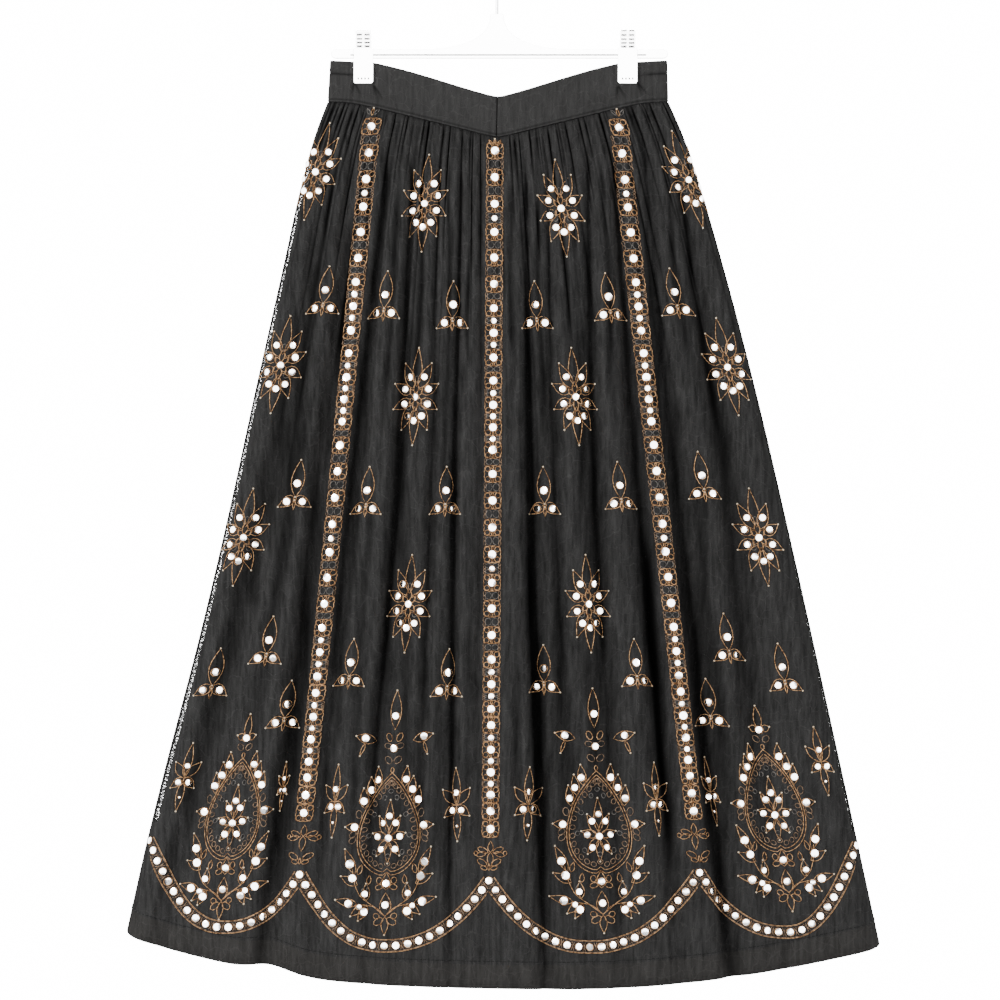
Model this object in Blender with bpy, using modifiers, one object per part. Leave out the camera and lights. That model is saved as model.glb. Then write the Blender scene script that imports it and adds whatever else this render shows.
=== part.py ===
"""A lined midi skirt with a V-shaped waistband, hung by its waist from a clip hanger.

Metres, +Z up. The origin is the underside of the hanger hook's crown, where a rail carries it.
+X is to the right of someone facing the skirt's front, and the front faces -Y.
Blender 4.5: blender --background --python part.py
"""

import math
from collections import namedtuple

import bmesh
import bpy
import numpy as np
from mathutils import Matrix

# Heights, measured down from the rail
BAND_TOP = 0.1135
BAND_HEIGHT = 0.040
HEM_LEFT = 0.9820
HEM_CENTRE = 1.0400
HEM_RIGHT = 0.9950
HEM_ROUNDNESS = 2.2

# The V of the waistband, the same along its top edge and its seam
POINT_X = -0.002
POINT_DROP = 0.0370
POINT_SLOPE = 0.25
POINT_ROUNDING = 0.004

# Cloth
SEAM_GAP = 0.0003
BAND_THICK = 0.0024
CLOTH_THICK = 0.0012
HEM_THICK = 0.0020
HEM_LEVEL = 0.968
LINING_THICK = 0.0010
LINING_END = 0.982
LINING_COLUMNS = 22
LINING_DROP = 0.0003

# The ring of the skirt at each level, 0 at the waist seam and 1 at the hem: how far it reaches to the
# left and right, the radius of its turn at the side seams, and how far its middle bows forward of that
Section = namedtuple("Section", "level left right end_radius bow")
SKIRT_SECTIONS = (
    Section(0.000, 0.1725, 0.1685, 0.0075, 0.0030),
    Section(0.035, 0.1835, 0.1815, 0.0090, 0.0060),
    Section(0.100, 0.1985, 0.1990, 0.0115, 0.0105),
    Section(0.200, 0.2170, 0.2225, 0.0140, 0.0148),
    Section(0.350, 0.2450, 0.2545, 0.0165, 0.0195),
    Section(0.500, 0.2720, 0.2840, 0.0190, 0.0240),
    Section(0.650, 0.3015, 0.3120, 0.0210, 0.0280),
    Section(0.800, 0.3340, 0.3400, 0.0230, 0.0315),
    Section(0.900, 0.3545, 0.3590, 0.0240, 0.0335),
    Section(1.000, 0.3730, 0.3785, 0.0250, 0.0350),
)

# The lining's rings, by how far they lie inside the skirt's side
LiningSection = namedtuple("LiningSection", "level inset end_radius bow")
LINING_SECTIONS = (
    LiningSection(0.00, 0.0021, 0.0055, 0.0029),
    LiningSection(0.04, 0.0050, 0.0032, 0.0040),
    LiningSection(0.10, 0.0055, 0.0030, 0.0072),
    LiningSection(0.20, 0.0060, 0.0044, 0.0098),
    LiningSection(0.35, 0.0061, 0.0056, 0.0132),
    LiningSection(0.50, 0.0062, 0.0066, 0.0165),
    LiningSection(0.80, 0.0070, 0.0084, 0.0240),
    LiningSection(1.00, 0.0080, 0.0115, 0.0300),
)

# The gathers under the waistband, on the front and again on the back
GATHERS = 54
GATHER_HEIGHT = 0.0015
GATHER_FADE = 0.085
GATHER_SEWN = 0.30
GATHER_FREE = 0.012
GATHER_UNEVENNESS = 0.22
GATHER_FADE_UNEVENNESS = 0.45
GATHER_TURN, GATHER_START, GATHER_FADE_TURN = 2.4, 0.7, 1.7
GATHER_END_FADE = 1.5

# The folds that the gathers run into, each a trough. Its place across the front at four levels, its
# depth there, and how wide it is to the left and right of its bottom
FOLD_LEVELS = (0.08, 0.46, 0.76, 1.0)
Fold = namedtuple("Fold", "top middle low hem deep_top deep_middle deep_low deep_hem left right")
FRONT_FOLDS = (
    Fold(-0.170, -0.230, -0.294, -0.345, 0.005, 0.014, 0.011, 0.003, 0.010, 0.012),
    Fold(-0.148, -0.182, -0.210, -0.238, 0.008, 0.014, 0.019, 0.008, 0.010, 0.012),
    Fold(-0.113, -0.148, -0.172, -0.190, 0.009, 0.014, 0.008, 0.002, 0.008, 0.009),
    Fold(-0.088, -0.104, -0.124, -0.136, 0.010, 0.016, 0.010, 0.003, 0.007, 0.011),
    Fold(-0.060, -0.069, -0.078, -0.085, 0.005, 0.008, 0.006, 0.002, 0.006, 0.008),
    Fold(-0.038, -0.045, -0.047, -0.050, 0.006, 0.011, 0.009, 0.004, 0.006, 0.005),
    Fold(-0.018, -0.019, -0.022, -0.022, 0.003, 0.004, 0.003, 0.001, 0.006, 0.006),
    Fold(0.025, 0.029, 0.037, 0.044, 0.009, 0.017, 0.018, 0.007, 0.005, 0.013),
    Fold(0.048, 0.057, 0.073, 0.088, 0.005, 0.009, 0.006, 0.002, 0.007, 0.008),
    Fold(0.089, 0.098, 0.112, 0.122, 0.009, 0.015, 0.009, 0.003, 0.011, 0.008),
    Fold(0.115, 0.140, 0.161, 0.178, 0.010, 0.015, 0.011, 0.003, 0.009, 0.010),
    Fold(0.145, 0.176, 0.204, 0.229, 0.009, 0.016, 0.020, 0.012, 0.006, 0.013),
    Fold(0.178, 0.229, 0.256, 0.278, 0.006, 0.014, 0.009, 0.002, 0.010, 0.011),
)
# The back falls the same way seen from behind, a little shallower and shifted along
BACK_FOLD_SHIFT = 0.007
BACK_FOLD_DEPTH = 0.88
FOLD_REACH = 0.55
FOLD_START = 0.012
FOLD_SIDE_FADE = 0.022
FOLD_SIDE_FLAT = 0.4
TOP_NARROWING = 0.55

# Levels of the wall's sections: close under the band, where every gather shows, then wider apart
GATHERED_LEVELS = (0.0, 0.012, 0.045, 0.10)
HANGING_LEVELS = (0.19, 0.33, 0.48, 0.63, 0.80, HEM_LEVEL, 1.0)

# The waistband: pinched flat by the clips, bowed open between them, and flared to the gathers
BAND_LEFT_TOP = 0.1700
BAND_RIGHT_TOP = 0.1675
BAND_END_RADIUS = 0.0030
BAND_BOW = 0.0060
BAND_BOW_HALF = 0.118
BAND_LEVELS = (0.0, 0.28, 0.56, 0.70, 0.85, 1.0)
BAND_FLARE_START = 0.56
BAND_TURN = 0.012
BAND_TURN_COLUMNS = 4
BAND_FLAT_COLUMNS = 12

# The hanger
BAR_CENTRE = 0.1060
BAR_HEIGHT = 0.0090
BAR_DEPTH = 0.0050
BAR_LEFT = -0.1690
BAR_RIGHT = 0.1680
BAR_EDGE = 0.0006
BOSS_TOP = 0.0660
BOSS_WIDTH = 0.0130
BOSS_FOOT = 0.0620
BOSS_X = -0.003
BOSS_SPREAD = 2.2
BOSS_RISE = 1.6
HOOK_WIRE = 0.0030
HOOK_RADIUS = 0.0190
HOOK_SOCKET = 0.0120
HOOK_SHANK = 0.0240
HOOK_LEAVE = 0.008
HOOK_MEET = 0.013
HOOK_TIP_TURN = math.radians(38)
HOOK_STEPS = 22
BEND_STEPS = 8

# The clips
CLIP_X = (-0.1365, 0.1275)
JAW_WIDTH = 0.0190
JAW_THICK = 0.0024
JAW_BOTTOM = 0.1355
JAW_KNEE = 0.1000
JAW_CORNER = 0.0020
CORNER_STEPS = 4
GRIP_WIDTH = 0.0155
GRIP_LENGTH = 0.0185
GRIP_LAP = 0.0004
GRIP_LEAN = math.radians(16)
GRIP_RIDGES = 5
FIRST_RIDGE = 0.0024
RIDGE_PITCH = 0.0031
RIDGE_LENGTH = 0.0060
RIDGE_SIZE = 0.0009
RIDGE_GAP = 0.0014
JAW_HOLES = 4
HOLE_PITCH = 0.0034
HOLE_WIDTH = 0.0011
HOLE_HEIGHT = 0.0014
HOLE_ABOVE_BOTTOM = 0.0046
SPRING_WIDTH = 0.0100
SPRING_THICK = 0.0007
SPRING_LEG = 0.0012
SPRING_STEPS = 10

# The concealed zip of the centre-back seam: its slider at the band's top, and the pull tab on it
SLIDER_WIDTH = 0.0060
SLIDER_HEIGHT = 0.0085
SLIDER_THICK = 0.0018
SLIDER_BELOW_TOP = 0.0030
EAR_THICK = 0.0009
EAR_HEIGHT = 0.0030
EAR_ROOT = 0.0004
EAR_WALL = 0.0006
PIN_RADIUS = 0.0005
KNUCKLE_RADIUS = 0.0014
PULL_LENGTH = 0.0190
PULL_WIDTH = 0.0046
PULL_NECK = 0.0026
PULL_THICK = 0.0010

UPRIGHT = Matrix.Rotation(0.5 * math.pi, 3, "X")
ALONG_X = Matrix.Rotation(0.5 * math.pi, 3, "Y")


def smooth_between(knots, values, at):
    """Values at the knots joined by a smooth cubic curve, read at the places in `at`."""
    knots, values, at = (np.asarray(x, float) for x in (knots, values, at))
    slopes = np.gradient(values, knots)
    i = np.clip(np.searchsorted(knots, at) - 1, 0, len(knots) - 2)
    width = knots[i + 1] - knots[i]
    f = np.clip((at - knots[i]) / width, 0.0, 1.0)
    rise = values[i + 1] - values[i]
    turn_in = slopes[i] * width - rise
    turn_out = rise - slopes[i + 1] * width
    return values[i] + rise * f + f * (1 - f) * ((1 - f) * turn_in + f * turn_out)


def from_table(rows, name, level):
    return smooth_between([r.level for r in rows], [getattr(r, name) for r in rows], level)


def smooth_step(x):
    x = np.clip(x, 0.0, 1.0)
    return x * x * (3 - 2 * x)


def point_drop(x):
    """How far the V lowers the waistband at x: a straight slope each way, with its corners eased."""
    slope = POINT_DROP - POINT_SLOPE * np.sqrt((x - POINT_X) ** 2 + POINT_ROUNDING**2)
    return 0.5 * (slope + np.sqrt(slope**2 + POINT_ROUNDING**2))


def half_ring(across, left, right, end_radius, bow):
    """The front half of a flattened ring, and its outward direction.

    `across` runs from -1 at the left side seam to 1 at the right one. The middle is a bow over the
    straight stretch between the side turns, and each side turn is a quarter circle.
    """
    centre = 0.5 * (right - left)
    straight = 0.5 * (right + left) - end_radius
    share = straight / (straight + 0.5 * math.pi * end_radius)
    q = np.clip(across / share, -1.0, 1.0)
    turn = np.maximum(np.abs(across) - share, 0.0) / (1.0 - share) * 0.5 * math.pi
    lift = np.maximum(1.0 - q**2, 0.0)
    x = centre + straight * q + end_radius * np.sin(turn) * np.sign(across)
    y = -(end_radius * np.cos(turn) + bow * lift**1.5)
    bow_slope = 3.0 * bow * q * np.sqrt(lift) / straight
    out_x = np.where(turn > 0.0, np.sin(turn) * np.sign(across), bow_slope)
    out_y = np.where(turn > 0.0, -np.cos(turn), -1.0)
    length = np.hypot(out_x, out_y)
    return x, y, out_x / length, out_y / length


def fold_depth(x, level, base_depth, left, right, behind):
    """How far the folds push the cloth inwards from its ring: a sum of troughs, none deeper than a share
    of the ring's own depth, fading out at the waist seam and at the side seams."""
    across = -x + BACK_FOLD_SHIFT if behind else x
    total = np.zeros_like(x)
    for fold in FRONT_FOLDS:
        path = smooth_between(FOLD_LEVELS, fold[0:4], level)
        depth = smooth_between(FOLD_LEVELS, fold[4:8], level)
        narrow = 1.0 - TOP_NARROWING * (1.0 - smooth_step(level / FOLD_LEVELS[1]))
        width = np.where(across < path, fold.left, fold.right) * narrow
        total += depth * np.exp(-(((across - path) / width) ** 2))
    total *= BACK_FOLD_DEPTH if behind else 1.0
    most = FOLD_REACH * base_depth
    start = smooth_step((level - FOLD_START) / (FOLD_LEVELS[0] - FOLD_START))
    side = smooth_step(np.minimum(x + left, right - x) / FOLD_SIDE_FADE - FOLD_SIDE_FLAT)
    return most * np.tanh(total / most) * start * side


def gather_rise(gather, level):
    """The small waves under the band, GATHERS of them across a panel, uneven in height and in how far
    down they run. `gather` counts them from the left side seam."""
    each = np.floor(gather + 0.25)
    uneven = 1.0 - GATHER_UNEVENNESS * (1.0 - np.sin(GATHER_TURN * each + GATHER_START))
    reach = GATHER_FADE * (1.0 + GATHER_FADE_UNEVENNESS * np.sin(GATHER_FADE_TURN * each))
    ends = smooth_step(np.minimum(gather, GATHERS - gather) / GATHER_END_FADE)
    freed = GATHER_SEWN + (1.0 - GATHER_SEWN) * smooth_step(level / GATHER_FREE)
    return GATHER_HEIGHT * freed * uneven * ends * np.exp(-level / reach) * np.cos(2 * math.pi * gather)


def panel_row(level, columns, inset, behind):
    """One row of points across the skirt's front or back wall, `inset` inside its outer face."""
    step = np.arange(columns + 1)
    across = 2.0 * step / columns - 1.0
    left, right, end_radius, bow = skirt_ring(level)
    x, y, out_x, out_y = half_ring(across, left, right, end_radius, bow)
    inward = fold_depth(x, level, -y, left, right, behind) - gather_rise(GATHERS * step / columns, level)
    x = x - out_x * inward
    y = y - out_y * inward
    along_x, along_y = np.gradient(x), np.gradient(y)
    length = np.hypot(along_x, along_y)
    at_seam = np.abs(across) == 1.0
    x = x - inset * np.where(at_seam, out_x, along_y / length)
    y = y - inset * np.where(at_seam, out_y, -along_x / length) - 0.5 * SEAM_GAP
    seam_x = half_ring(across, *skirt_ring(0.0))[0]
    return np.column_stack([x, -y if behind else y, hanging_height(seam_x, across, level)])


def skirt_ring(level):
    return [from_table(SKIRT_SECTIONS, name, level) for name in Section._fields[1:]]


def hanging_height(seam_x, across, level):
    """The height of a point at a level: its way down from the V of the waist seam to the arched hem."""
    seam = -(BAND_TOP + BAND_HEIGHT + SEAM_GAP) - point_drop(seam_x)
    side = np.where(across < 0, HEM_LEFT, HEM_RIGHT)
    hem = -side - (HEM_CENTRE - side) * (1.0 - np.abs(across) ** HEM_ROUNDNESS)
    return seam + (hem - seam) * level


def lining_ring(level):
    gap = from_table(LINING_SECTIONS, "inset", level)
    left, right = skirt_ring(level)[:2]
    end_radius = from_table(LINING_SECTIONS, "end_radius", level)
    return left - gap, right - gap, end_radius, from_table(LINING_SECTIONS, "bow", level)


def lining_row(level, columns, inset, behind):
    """One row of points across the lining, which hangs as a smooth, narrower ring."""
    across = 2.0 * np.arange(columns + 1) / columns - 1.0
    x, y, out_x, out_y = half_ring(across, *lining_ring(level))
    x = x - out_x * inset
    y = y - out_y * inset - 0.5 * SEAM_GAP
    seam_x = half_ring(across, *lining_ring(0.0))[0]
    z = hanging_height(seam_x, across, level) - LINING_DROP
    return np.column_stack([x, -y if behind else y, z])


def band_columns(start, end):
    """Places along a half waistband, from the side seam to the centre seam, closer round the side turn."""
    turn = np.linspace(start, start + math.copysign(BAND_TURN, end - start), BAND_TURN_COLUMNS + 1)
    flat = np.linspace(turn[-1], end, BAND_FLAT_COLUMNS + 1)
    return np.concatenate([turn, flat[1:]])


def band_row(share, places, inset, behind):
    """One row of a half waistband. `share` runs from 0 at its top edge to 1 at the waist seam."""
    left = BAND_LEFT_TOP + (SKIRT_SECTIONS[0].left - BAND_LEFT_TOP) * share
    right = BAND_RIGHT_TOP + (SKIRT_SECTIONS[0].right - BAND_RIGHT_TOP) * share
    flare = smooth_step((share - BAND_FLARE_START) / (1.0 - BAND_FLARE_START))
    end_radius = BAND_END_RADIUS + (SKIRT_SECTIONS[0].end_radius - BAND_END_RADIUS) * flare
    across = np.where(places < 0, places / SKIRT_SECTIONS[0].left, places / SKIRT_SECTIONS[0].right)
    x, y, out_x, out_y = half_ring(across, left, right, end_radius, SKIRT_SECTIONS[0].bow * flare)
    opened = np.cos(0.5 * math.pi * np.clip(x / BAND_BOW_HALF, -1.0, 1.0)) ** 2
    y = y - BAND_BOW * opened * (1.0 - flare)
    x = x - out_x * inset
    y = y - out_y * inset - 0.5 * SEAM_GAP
    z = -BAND_TOP - BAND_HEIGHT * share - point_drop(x)
    return np.column_stack([x, -y if behind else y, z])


def stitch(faces, upper, lower):
    """Faces between two rows of point numbers, of equal length or with two steps above each one below."""
    if len(upper) == len(lower):
        for i in range(len(upper) - 1):
            faces.append((upper[i], lower[i], lower[i + 1], upper[i + 1]))
        return
    for i in range(len(lower) - 1):
        a, b, c = upper[2 * i : 2 * i + 3]
        faces.append((a, lower[i], b))
        faces.append((b, lower[i], lower[i + 1]))
        faces.append((b, lower[i + 1], c))


def principled(name, colour, roughness, metallic=0.0):
    material = bpy.data.materials.new(name)
    material.use_nodes = True
    shader = material.node_tree.nodes["Principled BSDF"]
    shader.inputs["Base Color"].default_value = (*colour, 1.0)
    shader.inputs["Roughness"].default_value = roughness
    shader.inputs["Metallic"].default_value = metallic
    return material


def link(name, mesh, material):
    obj = bpy.data.objects.new(name, mesh)
    SKIRT.objects.link(obj)
    if not mesh.materials:
        mesh.materials.append(material)
    return obj


def wall(name, outer_rows, inner_rows, material):
    """A closed cloth wall between its outer and inner rows of points, each listed from the top down."""
    points, faces = [], []
    numbered = []
    for rows in (outer_rows, inner_rows):
        numbers = []
        for row in rows:
            numbers.append(list(range(len(points), len(points) + len(row))))
            points.extend(row.tolist())
        numbered.append(numbers)
    outer, inner = numbered
    for rows in numbered:
        for upper, lower in zip(rows, rows[1:]):
            stitch(faces, upper, lower)
    stitch(faces, outer[0], inner[0])
    stitch(faces, outer[-1], inner[-1])
    for edge in (0, -1):
        stitch(faces, [row[edge] for row in outer], [row[edge] for row in inner])
    mesh = bpy.data.meshes.new(name)
    mesh.from_pydata(points, [], faces)
    bm = bmesh.new()
    bm.from_mesh(mesh)
    bmesh.ops.recalc_face_normals(bm, faces=bm.faces)
    bm.to_mesh(mesh)
    bm.free()
    mesh.shade_smooth()
    return link(name, mesh, material)


def build_panel(name, behind, first, last, shift, material):
    """A skirt panel between two of its gathers, with its hem turned up inside to twice the cloth."""
    outer, inner = [], []
    for level in GATHERED_LEVELS + HANGING_LEVELS:
        steps = 4 if level in GATHERED_LEVELS else 2
        thick = HEM_THICK if level >= HEM_LEVEL else CLOTH_THICK
        outer.append(panel_row(level, steps * GATHERS, 0.0, behind)[steps * first : steps * last + 1])
        inner.append(panel_row(level, 2 * GATHERS, thick, behind)[2 * first : 2 * last + 1])
    for row in outer + inner:
        row[:, 0] += shift
    return wall(name, outer, inner, material)


def build_lining(name, behind, material):
    levels = [r.level * LINING_END for r in LINING_SECTIONS]
    outer = [lining_row(level, LINING_COLUMNS, 0.0, behind) for level in levels]
    inner = [lining_row(level, LINING_COLUMNS, LINING_THICK, behind) for level in levels]
    return wall(name, outer, inner, material)


def build_waistband(name, behind, side, material):
    """Half of the front or back waistband, from a side seam to the centre seam."""
    side_end = -SKIRT_SECTIONS[0].left if side < 0 else SKIRT_SECTIONS[0].right
    places = band_columns(side_end, POINT_X + side * 0.5 * SEAM_GAP)
    outer = [band_row(share, places, 0.0, behind) for share in BAND_LEVELS]
    inner = [band_row(share, places, BAND_THICK, behind) for share in BAND_LEVELS]
    for rows in (outer, inner):
        for row in rows:
            row[-1, 0] = POINT_X + side * 0.5 * SEAM_GAP
    return wall(name, outer, inner, material)


def flat_outline(name, points, thick):
    """A flat shape in the XZ plane, `thick` deep along Y, as a mesh centred on Y = 0."""
    curve = bpy.data.curves.new(name, "CURVE")
    curve.dimensions = "2D"
    curve.fill_mode = "BOTH"
    curve.extrude = 0.5 * thick
    spline = curve.splines.new("POLY")
    spline.points.add(len(points) - 1)
    for point, (x, z) in zip(spline.points, points):
        point.co = (x, z, 0.0, 1.0)
    spline.use_cyclic_u = True
    shape = bpy.data.objects.new(name, curve)
    SKIRT.objects.link(shape)
    mesh = bpy.data.meshes.new_from_object(shape.evaluated_get(bpy.context.evaluated_depsgraph_get()))
    bpy.data.objects.remove(shape)
    bm = bmesh.new()
    bm.from_mesh(mesh)
    bmesh.ops.remove_doubles(bm, verts=bm.verts, dist=1e-6)
    bmesh.ops.rotate(bm, verts=bm.verts, matrix=UPRIGHT)
    bmesh.ops.recalc_face_normals(bm, faces=bm.faces)
    bm.to_mesh(mesh)
    bm.free()
    return mesh


def box_mesh(name, size, centre):
    bm = bmesh.new()
    bmesh.ops.create_cube(bm, size=1.0)
    bmesh.ops.scale(bm, vec=size, verts=bm.verts)
    bmesh.ops.translate(bm, vec=centre, verts=bm.verts)
    mesh = bpy.data.meshes.new(name)
    bm.to_mesh(mesh)
    bm.free()
    return mesh


def rod_mesh(name, radius, length, centre, sides=12):
    """A round rod along X."""
    bm = bmesh.new()
    bmesh.ops.create_cone(bm, cap_ends=True, segments=sides, radius1=radius, radius2=radius, depth=length)
    bmesh.ops.rotate(bm, verts=bm.verts, matrix=ALONG_X)
    bmesh.ops.translate(bm, vec=centre, verts=bm.verts)
    mesh = bpy.data.meshes.new(name)
    bm.to_mesh(mesh)
    bm.free()
    return mesh


def combine(obj, meshes, operation):
    """Joins each mesh to obj, or cuts it out of obj, and stores the result as obj's own mesh."""
    for mesh in meshes:
        other = bpy.data.objects.new("tool", mesh)
        SKIRT.objects.link(other)
        modifier = obj.modifiers.new("combine", "BOOLEAN")
        modifier.operation = operation
        modifier.solver = "EXACT"
        modifier.object = other
        result = bpy.data.meshes.new_from_object(
            obj.evaluated_get(bpy.context.evaluated_depsgraph_get())
        )
        obj.modifiers.clear()
        obj.data = result
        bpy.data.objects.remove(other)
    return obj


def arc(centre, radius, start, end, count):
    """Points of an arc in a plane, angles in degrees."""
    angles = np.radians(np.linspace(start, end, count + 1))
    return [(centre[0] + radius * math.cos(a), centre[1] + radius * math.sin(a)) for a in angles]


def build_jaw(material):
    """One jaw of a clip, its inner face on Y = 0: a plate with rounded lower corners, and above its knee a
    ribbed grip that leans outwards."""
    half = 0.5 * JAW_WIDTH
    low = -JAW_BOTTOM + JAW_CORNER
    plate_points = [(-half, -JAW_KNEE), *arc((-half + JAW_CORNER, low), JAW_CORNER, 180, 270, CORNER_STEPS)]
    plate_points += [*arc((half - JAW_CORNER, low), JAW_CORNER, 270, 360, CORNER_STEPS)]
    plate_points.append((half, -JAW_KNEE))
    jaw = link("jaw", flat_outline("jaw", plate_points, JAW_THICK), material)
    outward = Matrix.Translation((0.0, -0.5 * JAW_THICK, 0.0))
    jaw.data.transform(outward)
    grip = 0.5 * GRIP_WIDTH
    top = GRIP_LENGTH - JAW_CORNER
    grip_points = [(-grip, -GRIP_LAP), (grip, -GRIP_LAP)]
    grip_points += arc((grip - JAW_CORNER, top), JAW_CORNER, 0, 90, CORNER_STEPS)
    grip_points += arc((-grip + JAW_CORNER, top), JAW_CORNER, 90, 180, CORNER_STEPS)
    lean = Matrix.Translation((0.0, 0.0, -JAW_KNEE)) @ Matrix.Rotation(GRIP_LEAN, 4, "X") @ outward
    pieces = [flat_outline("grip", grip_points, JAW_THICK)]
    for row in range(GRIP_RIDGES):
        for side in (-1, 1):
            centre = (
                side * 0.5 * (RIDGE_LENGTH + RIDGE_GAP),
                -0.5 * JAW_THICK,
                GRIP_LENGTH - FIRST_RIDGE - row * RIDGE_PITCH,
            )
            pieces.append(box_mesh("ridge", (RIDGE_LENGTH, RIDGE_SIZE, RIDGE_SIZE), centre))
    for piece in pieces:
        piece.transform(lean)
    combine(jaw, pieces, "UNION")
    holes = []
    for k in range(JAW_HOLES):
        x = (k - 0.5 * (JAW_HOLES - 1)) * HOLE_PITCH
        centre = (x, -0.5 * JAW_THICK, -JAW_BOTTOM + HOLE_ABOVE_BOTTOM)
        holes.append(box_mesh("hole", (HOLE_WIDTH, 2 * JAW_THICK, HOLE_HEIGHT), centre))
    combine(jaw, holes, "DIFFERENCE")
    mesh = jaw.data
    bpy.data.objects.remove(jaw)
    return mesh


def build_clips(plastic, steel):
    """Each clip has a front and a back jaw that close on the waistband, and a bent leaf spring over the bar."""
    mesh = build_jaw(plastic)
    reach = BAND_END_RADIUS + SEAM_GAP + 0.5 * SEAM_GAP
    for side, x in zip(("left", "right"), CLIP_X):
        for face, turn in (("front", 0.0), ("back", math.pi)):
            jaw = bpy.data.objects.new(f"clip_{side}_{face}", mesh)
            SKIRT.objects.link(jaw)
            jaw.rotation_euler = (0.0, 0.0, turn)
            jaw.location = (x, -reach if face == "front" else reach, 0.0)
        outer = reach - SEAM_GAP
        foot = -(BAR_CENTRE - 0.5 * BAR_HEIGHT) + SEAM_GAP
        middle = (0.0, foot + SPRING_LEG)
        ring = [(outer, foot), *arc(middle, outer, 0, 180, SPRING_STEPS), (-outer, foot)]
        inner = outer - SPRING_THICK
        ring += [(-inner, foot), *arc(middle, inner, 180, 0, SPRING_STEPS), (inner, foot)]
        spring = flat_outline(f"clip_{side}_spring", ring, SPRING_WIDTH)
        spring.transform(Matrix.Rotation(0.5 * math.pi, 4, "Z"))
        obj = link(f"clip_{side}_spring", spring, steel)
        obj.location = (x, 0.0, 0.0)


def build_hanger_bar(material):
    """The moulded bar: round ends, and a boss in its middle that rises to hold the hook."""
    high = -BAR_CENTRE + 0.5 * BAR_HEIGHT
    low = -BAR_CENTRE - 0.5 * BAR_HEIGHT
    round_end = 0.5 * BAR_HEIGHT
    points = arc((BAR_LEFT + round_end, -BAR_CENTRE), round_end, 90, 270, 6)
    points += arc((BAR_RIGHT - round_end, -BAR_CENTRE), round_end, -90, 90, 6)
    half = 0.5 * BOSS_WIDTH
    steps = np.linspace(1.0, 0.0, 8)
    rise = -BOSS_TOP - high
    side = [(half + BOSS_FOOT * t**BOSS_SPREAD, high + rise * (1 - t) ** BOSS_RISE) for t in steps]
    points += [(BOSS_X + x, z) for x, z in side]
    points += [(BOSS_X - x, z) for x, z in reversed(side)]
    bar = link("hanger_bar", flat_outline("hanger_bar", points, BAR_DEPTH), material)
    edge = bar.modifiers.new("softened edges", "BEVEL")
    edge.width = BAR_EDGE
    edge.segments = 1
    edge.limit_method = "ANGLE"
    mesh = bpy.data.meshes.new_from_object(bar.evaluated_get(bpy.context.evaluated_depsgraph_get()))
    bar.modifiers.clear()
    bar.data = mesh
    socket = rod_mesh("socket", 0.5 * HOOK_WIRE + SEAM_GAP, 2 * HOOK_SOCKET, (0, 0, 0))
    socket.transform(Matrix.Translation((BOSS_X, 0, -BOSS_TOP)) @ Matrix.Rotation(0.5 * math.pi, 4, "Y"))
    return combine(bar, [socket], "DIFFERENCE")


def build_hook(material):
    """The wire hook: a straight shank, a bend out to one side, and a round crown over the rail."""
    crown = 0.5 * HOOK_WIRE - HOOK_RADIUS
    foot = -BOSS_TOP - HOOK_SOCKET + SEAM_GAP
    neck = -BOSS_TOP + HOOK_SHANK
    points = [(BOSS_X, foot), (BOSS_X, -BOSS_TOP), (BOSS_X, neck)]
    for t in np.linspace(0.0, 1.0, BEND_STEPS + 1)[1:]:
        a, b, c, d = (1 - t) ** 3, 3 * t * (1 - t) ** 2, 3 * t * t * (1 - t), t**3
        x = a * BOSS_X + b * BOSS_X + c * HOOK_RADIUS + d * HOOK_RADIUS
        z = a * neck + b * (neck + HOOK_LEAVE) + c * (crown - HOOK_MEET) + d * crown
        points.append((x, z))
    points += arc((0.0, crown), HOOK_RADIUS, 0, 180 + math.degrees(HOOK_TIP_TURN), HOOK_STEPS)[1:]
    curve = bpy.data.curves.new("hanger_hook", "CURVE")
    curve.dimensions = "3D"
    curve.bevel_depth = 0.5 * HOOK_WIRE
    curve.bevel_resolution = 2
    curve.use_fill_caps = True
    spline = curve.splines.new("POLY")
    spline.points.add(len(points) - 1)
    for point, (x, z) in zip(spline.points, points):
        point.co = (x, 0.0, z, 1.0)
    curve.materials.append(material)
    hook = bpy.data.objects.new("hanger_hook", curve)
    SKIRT.objects.link(hook)
    return hook


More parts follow.
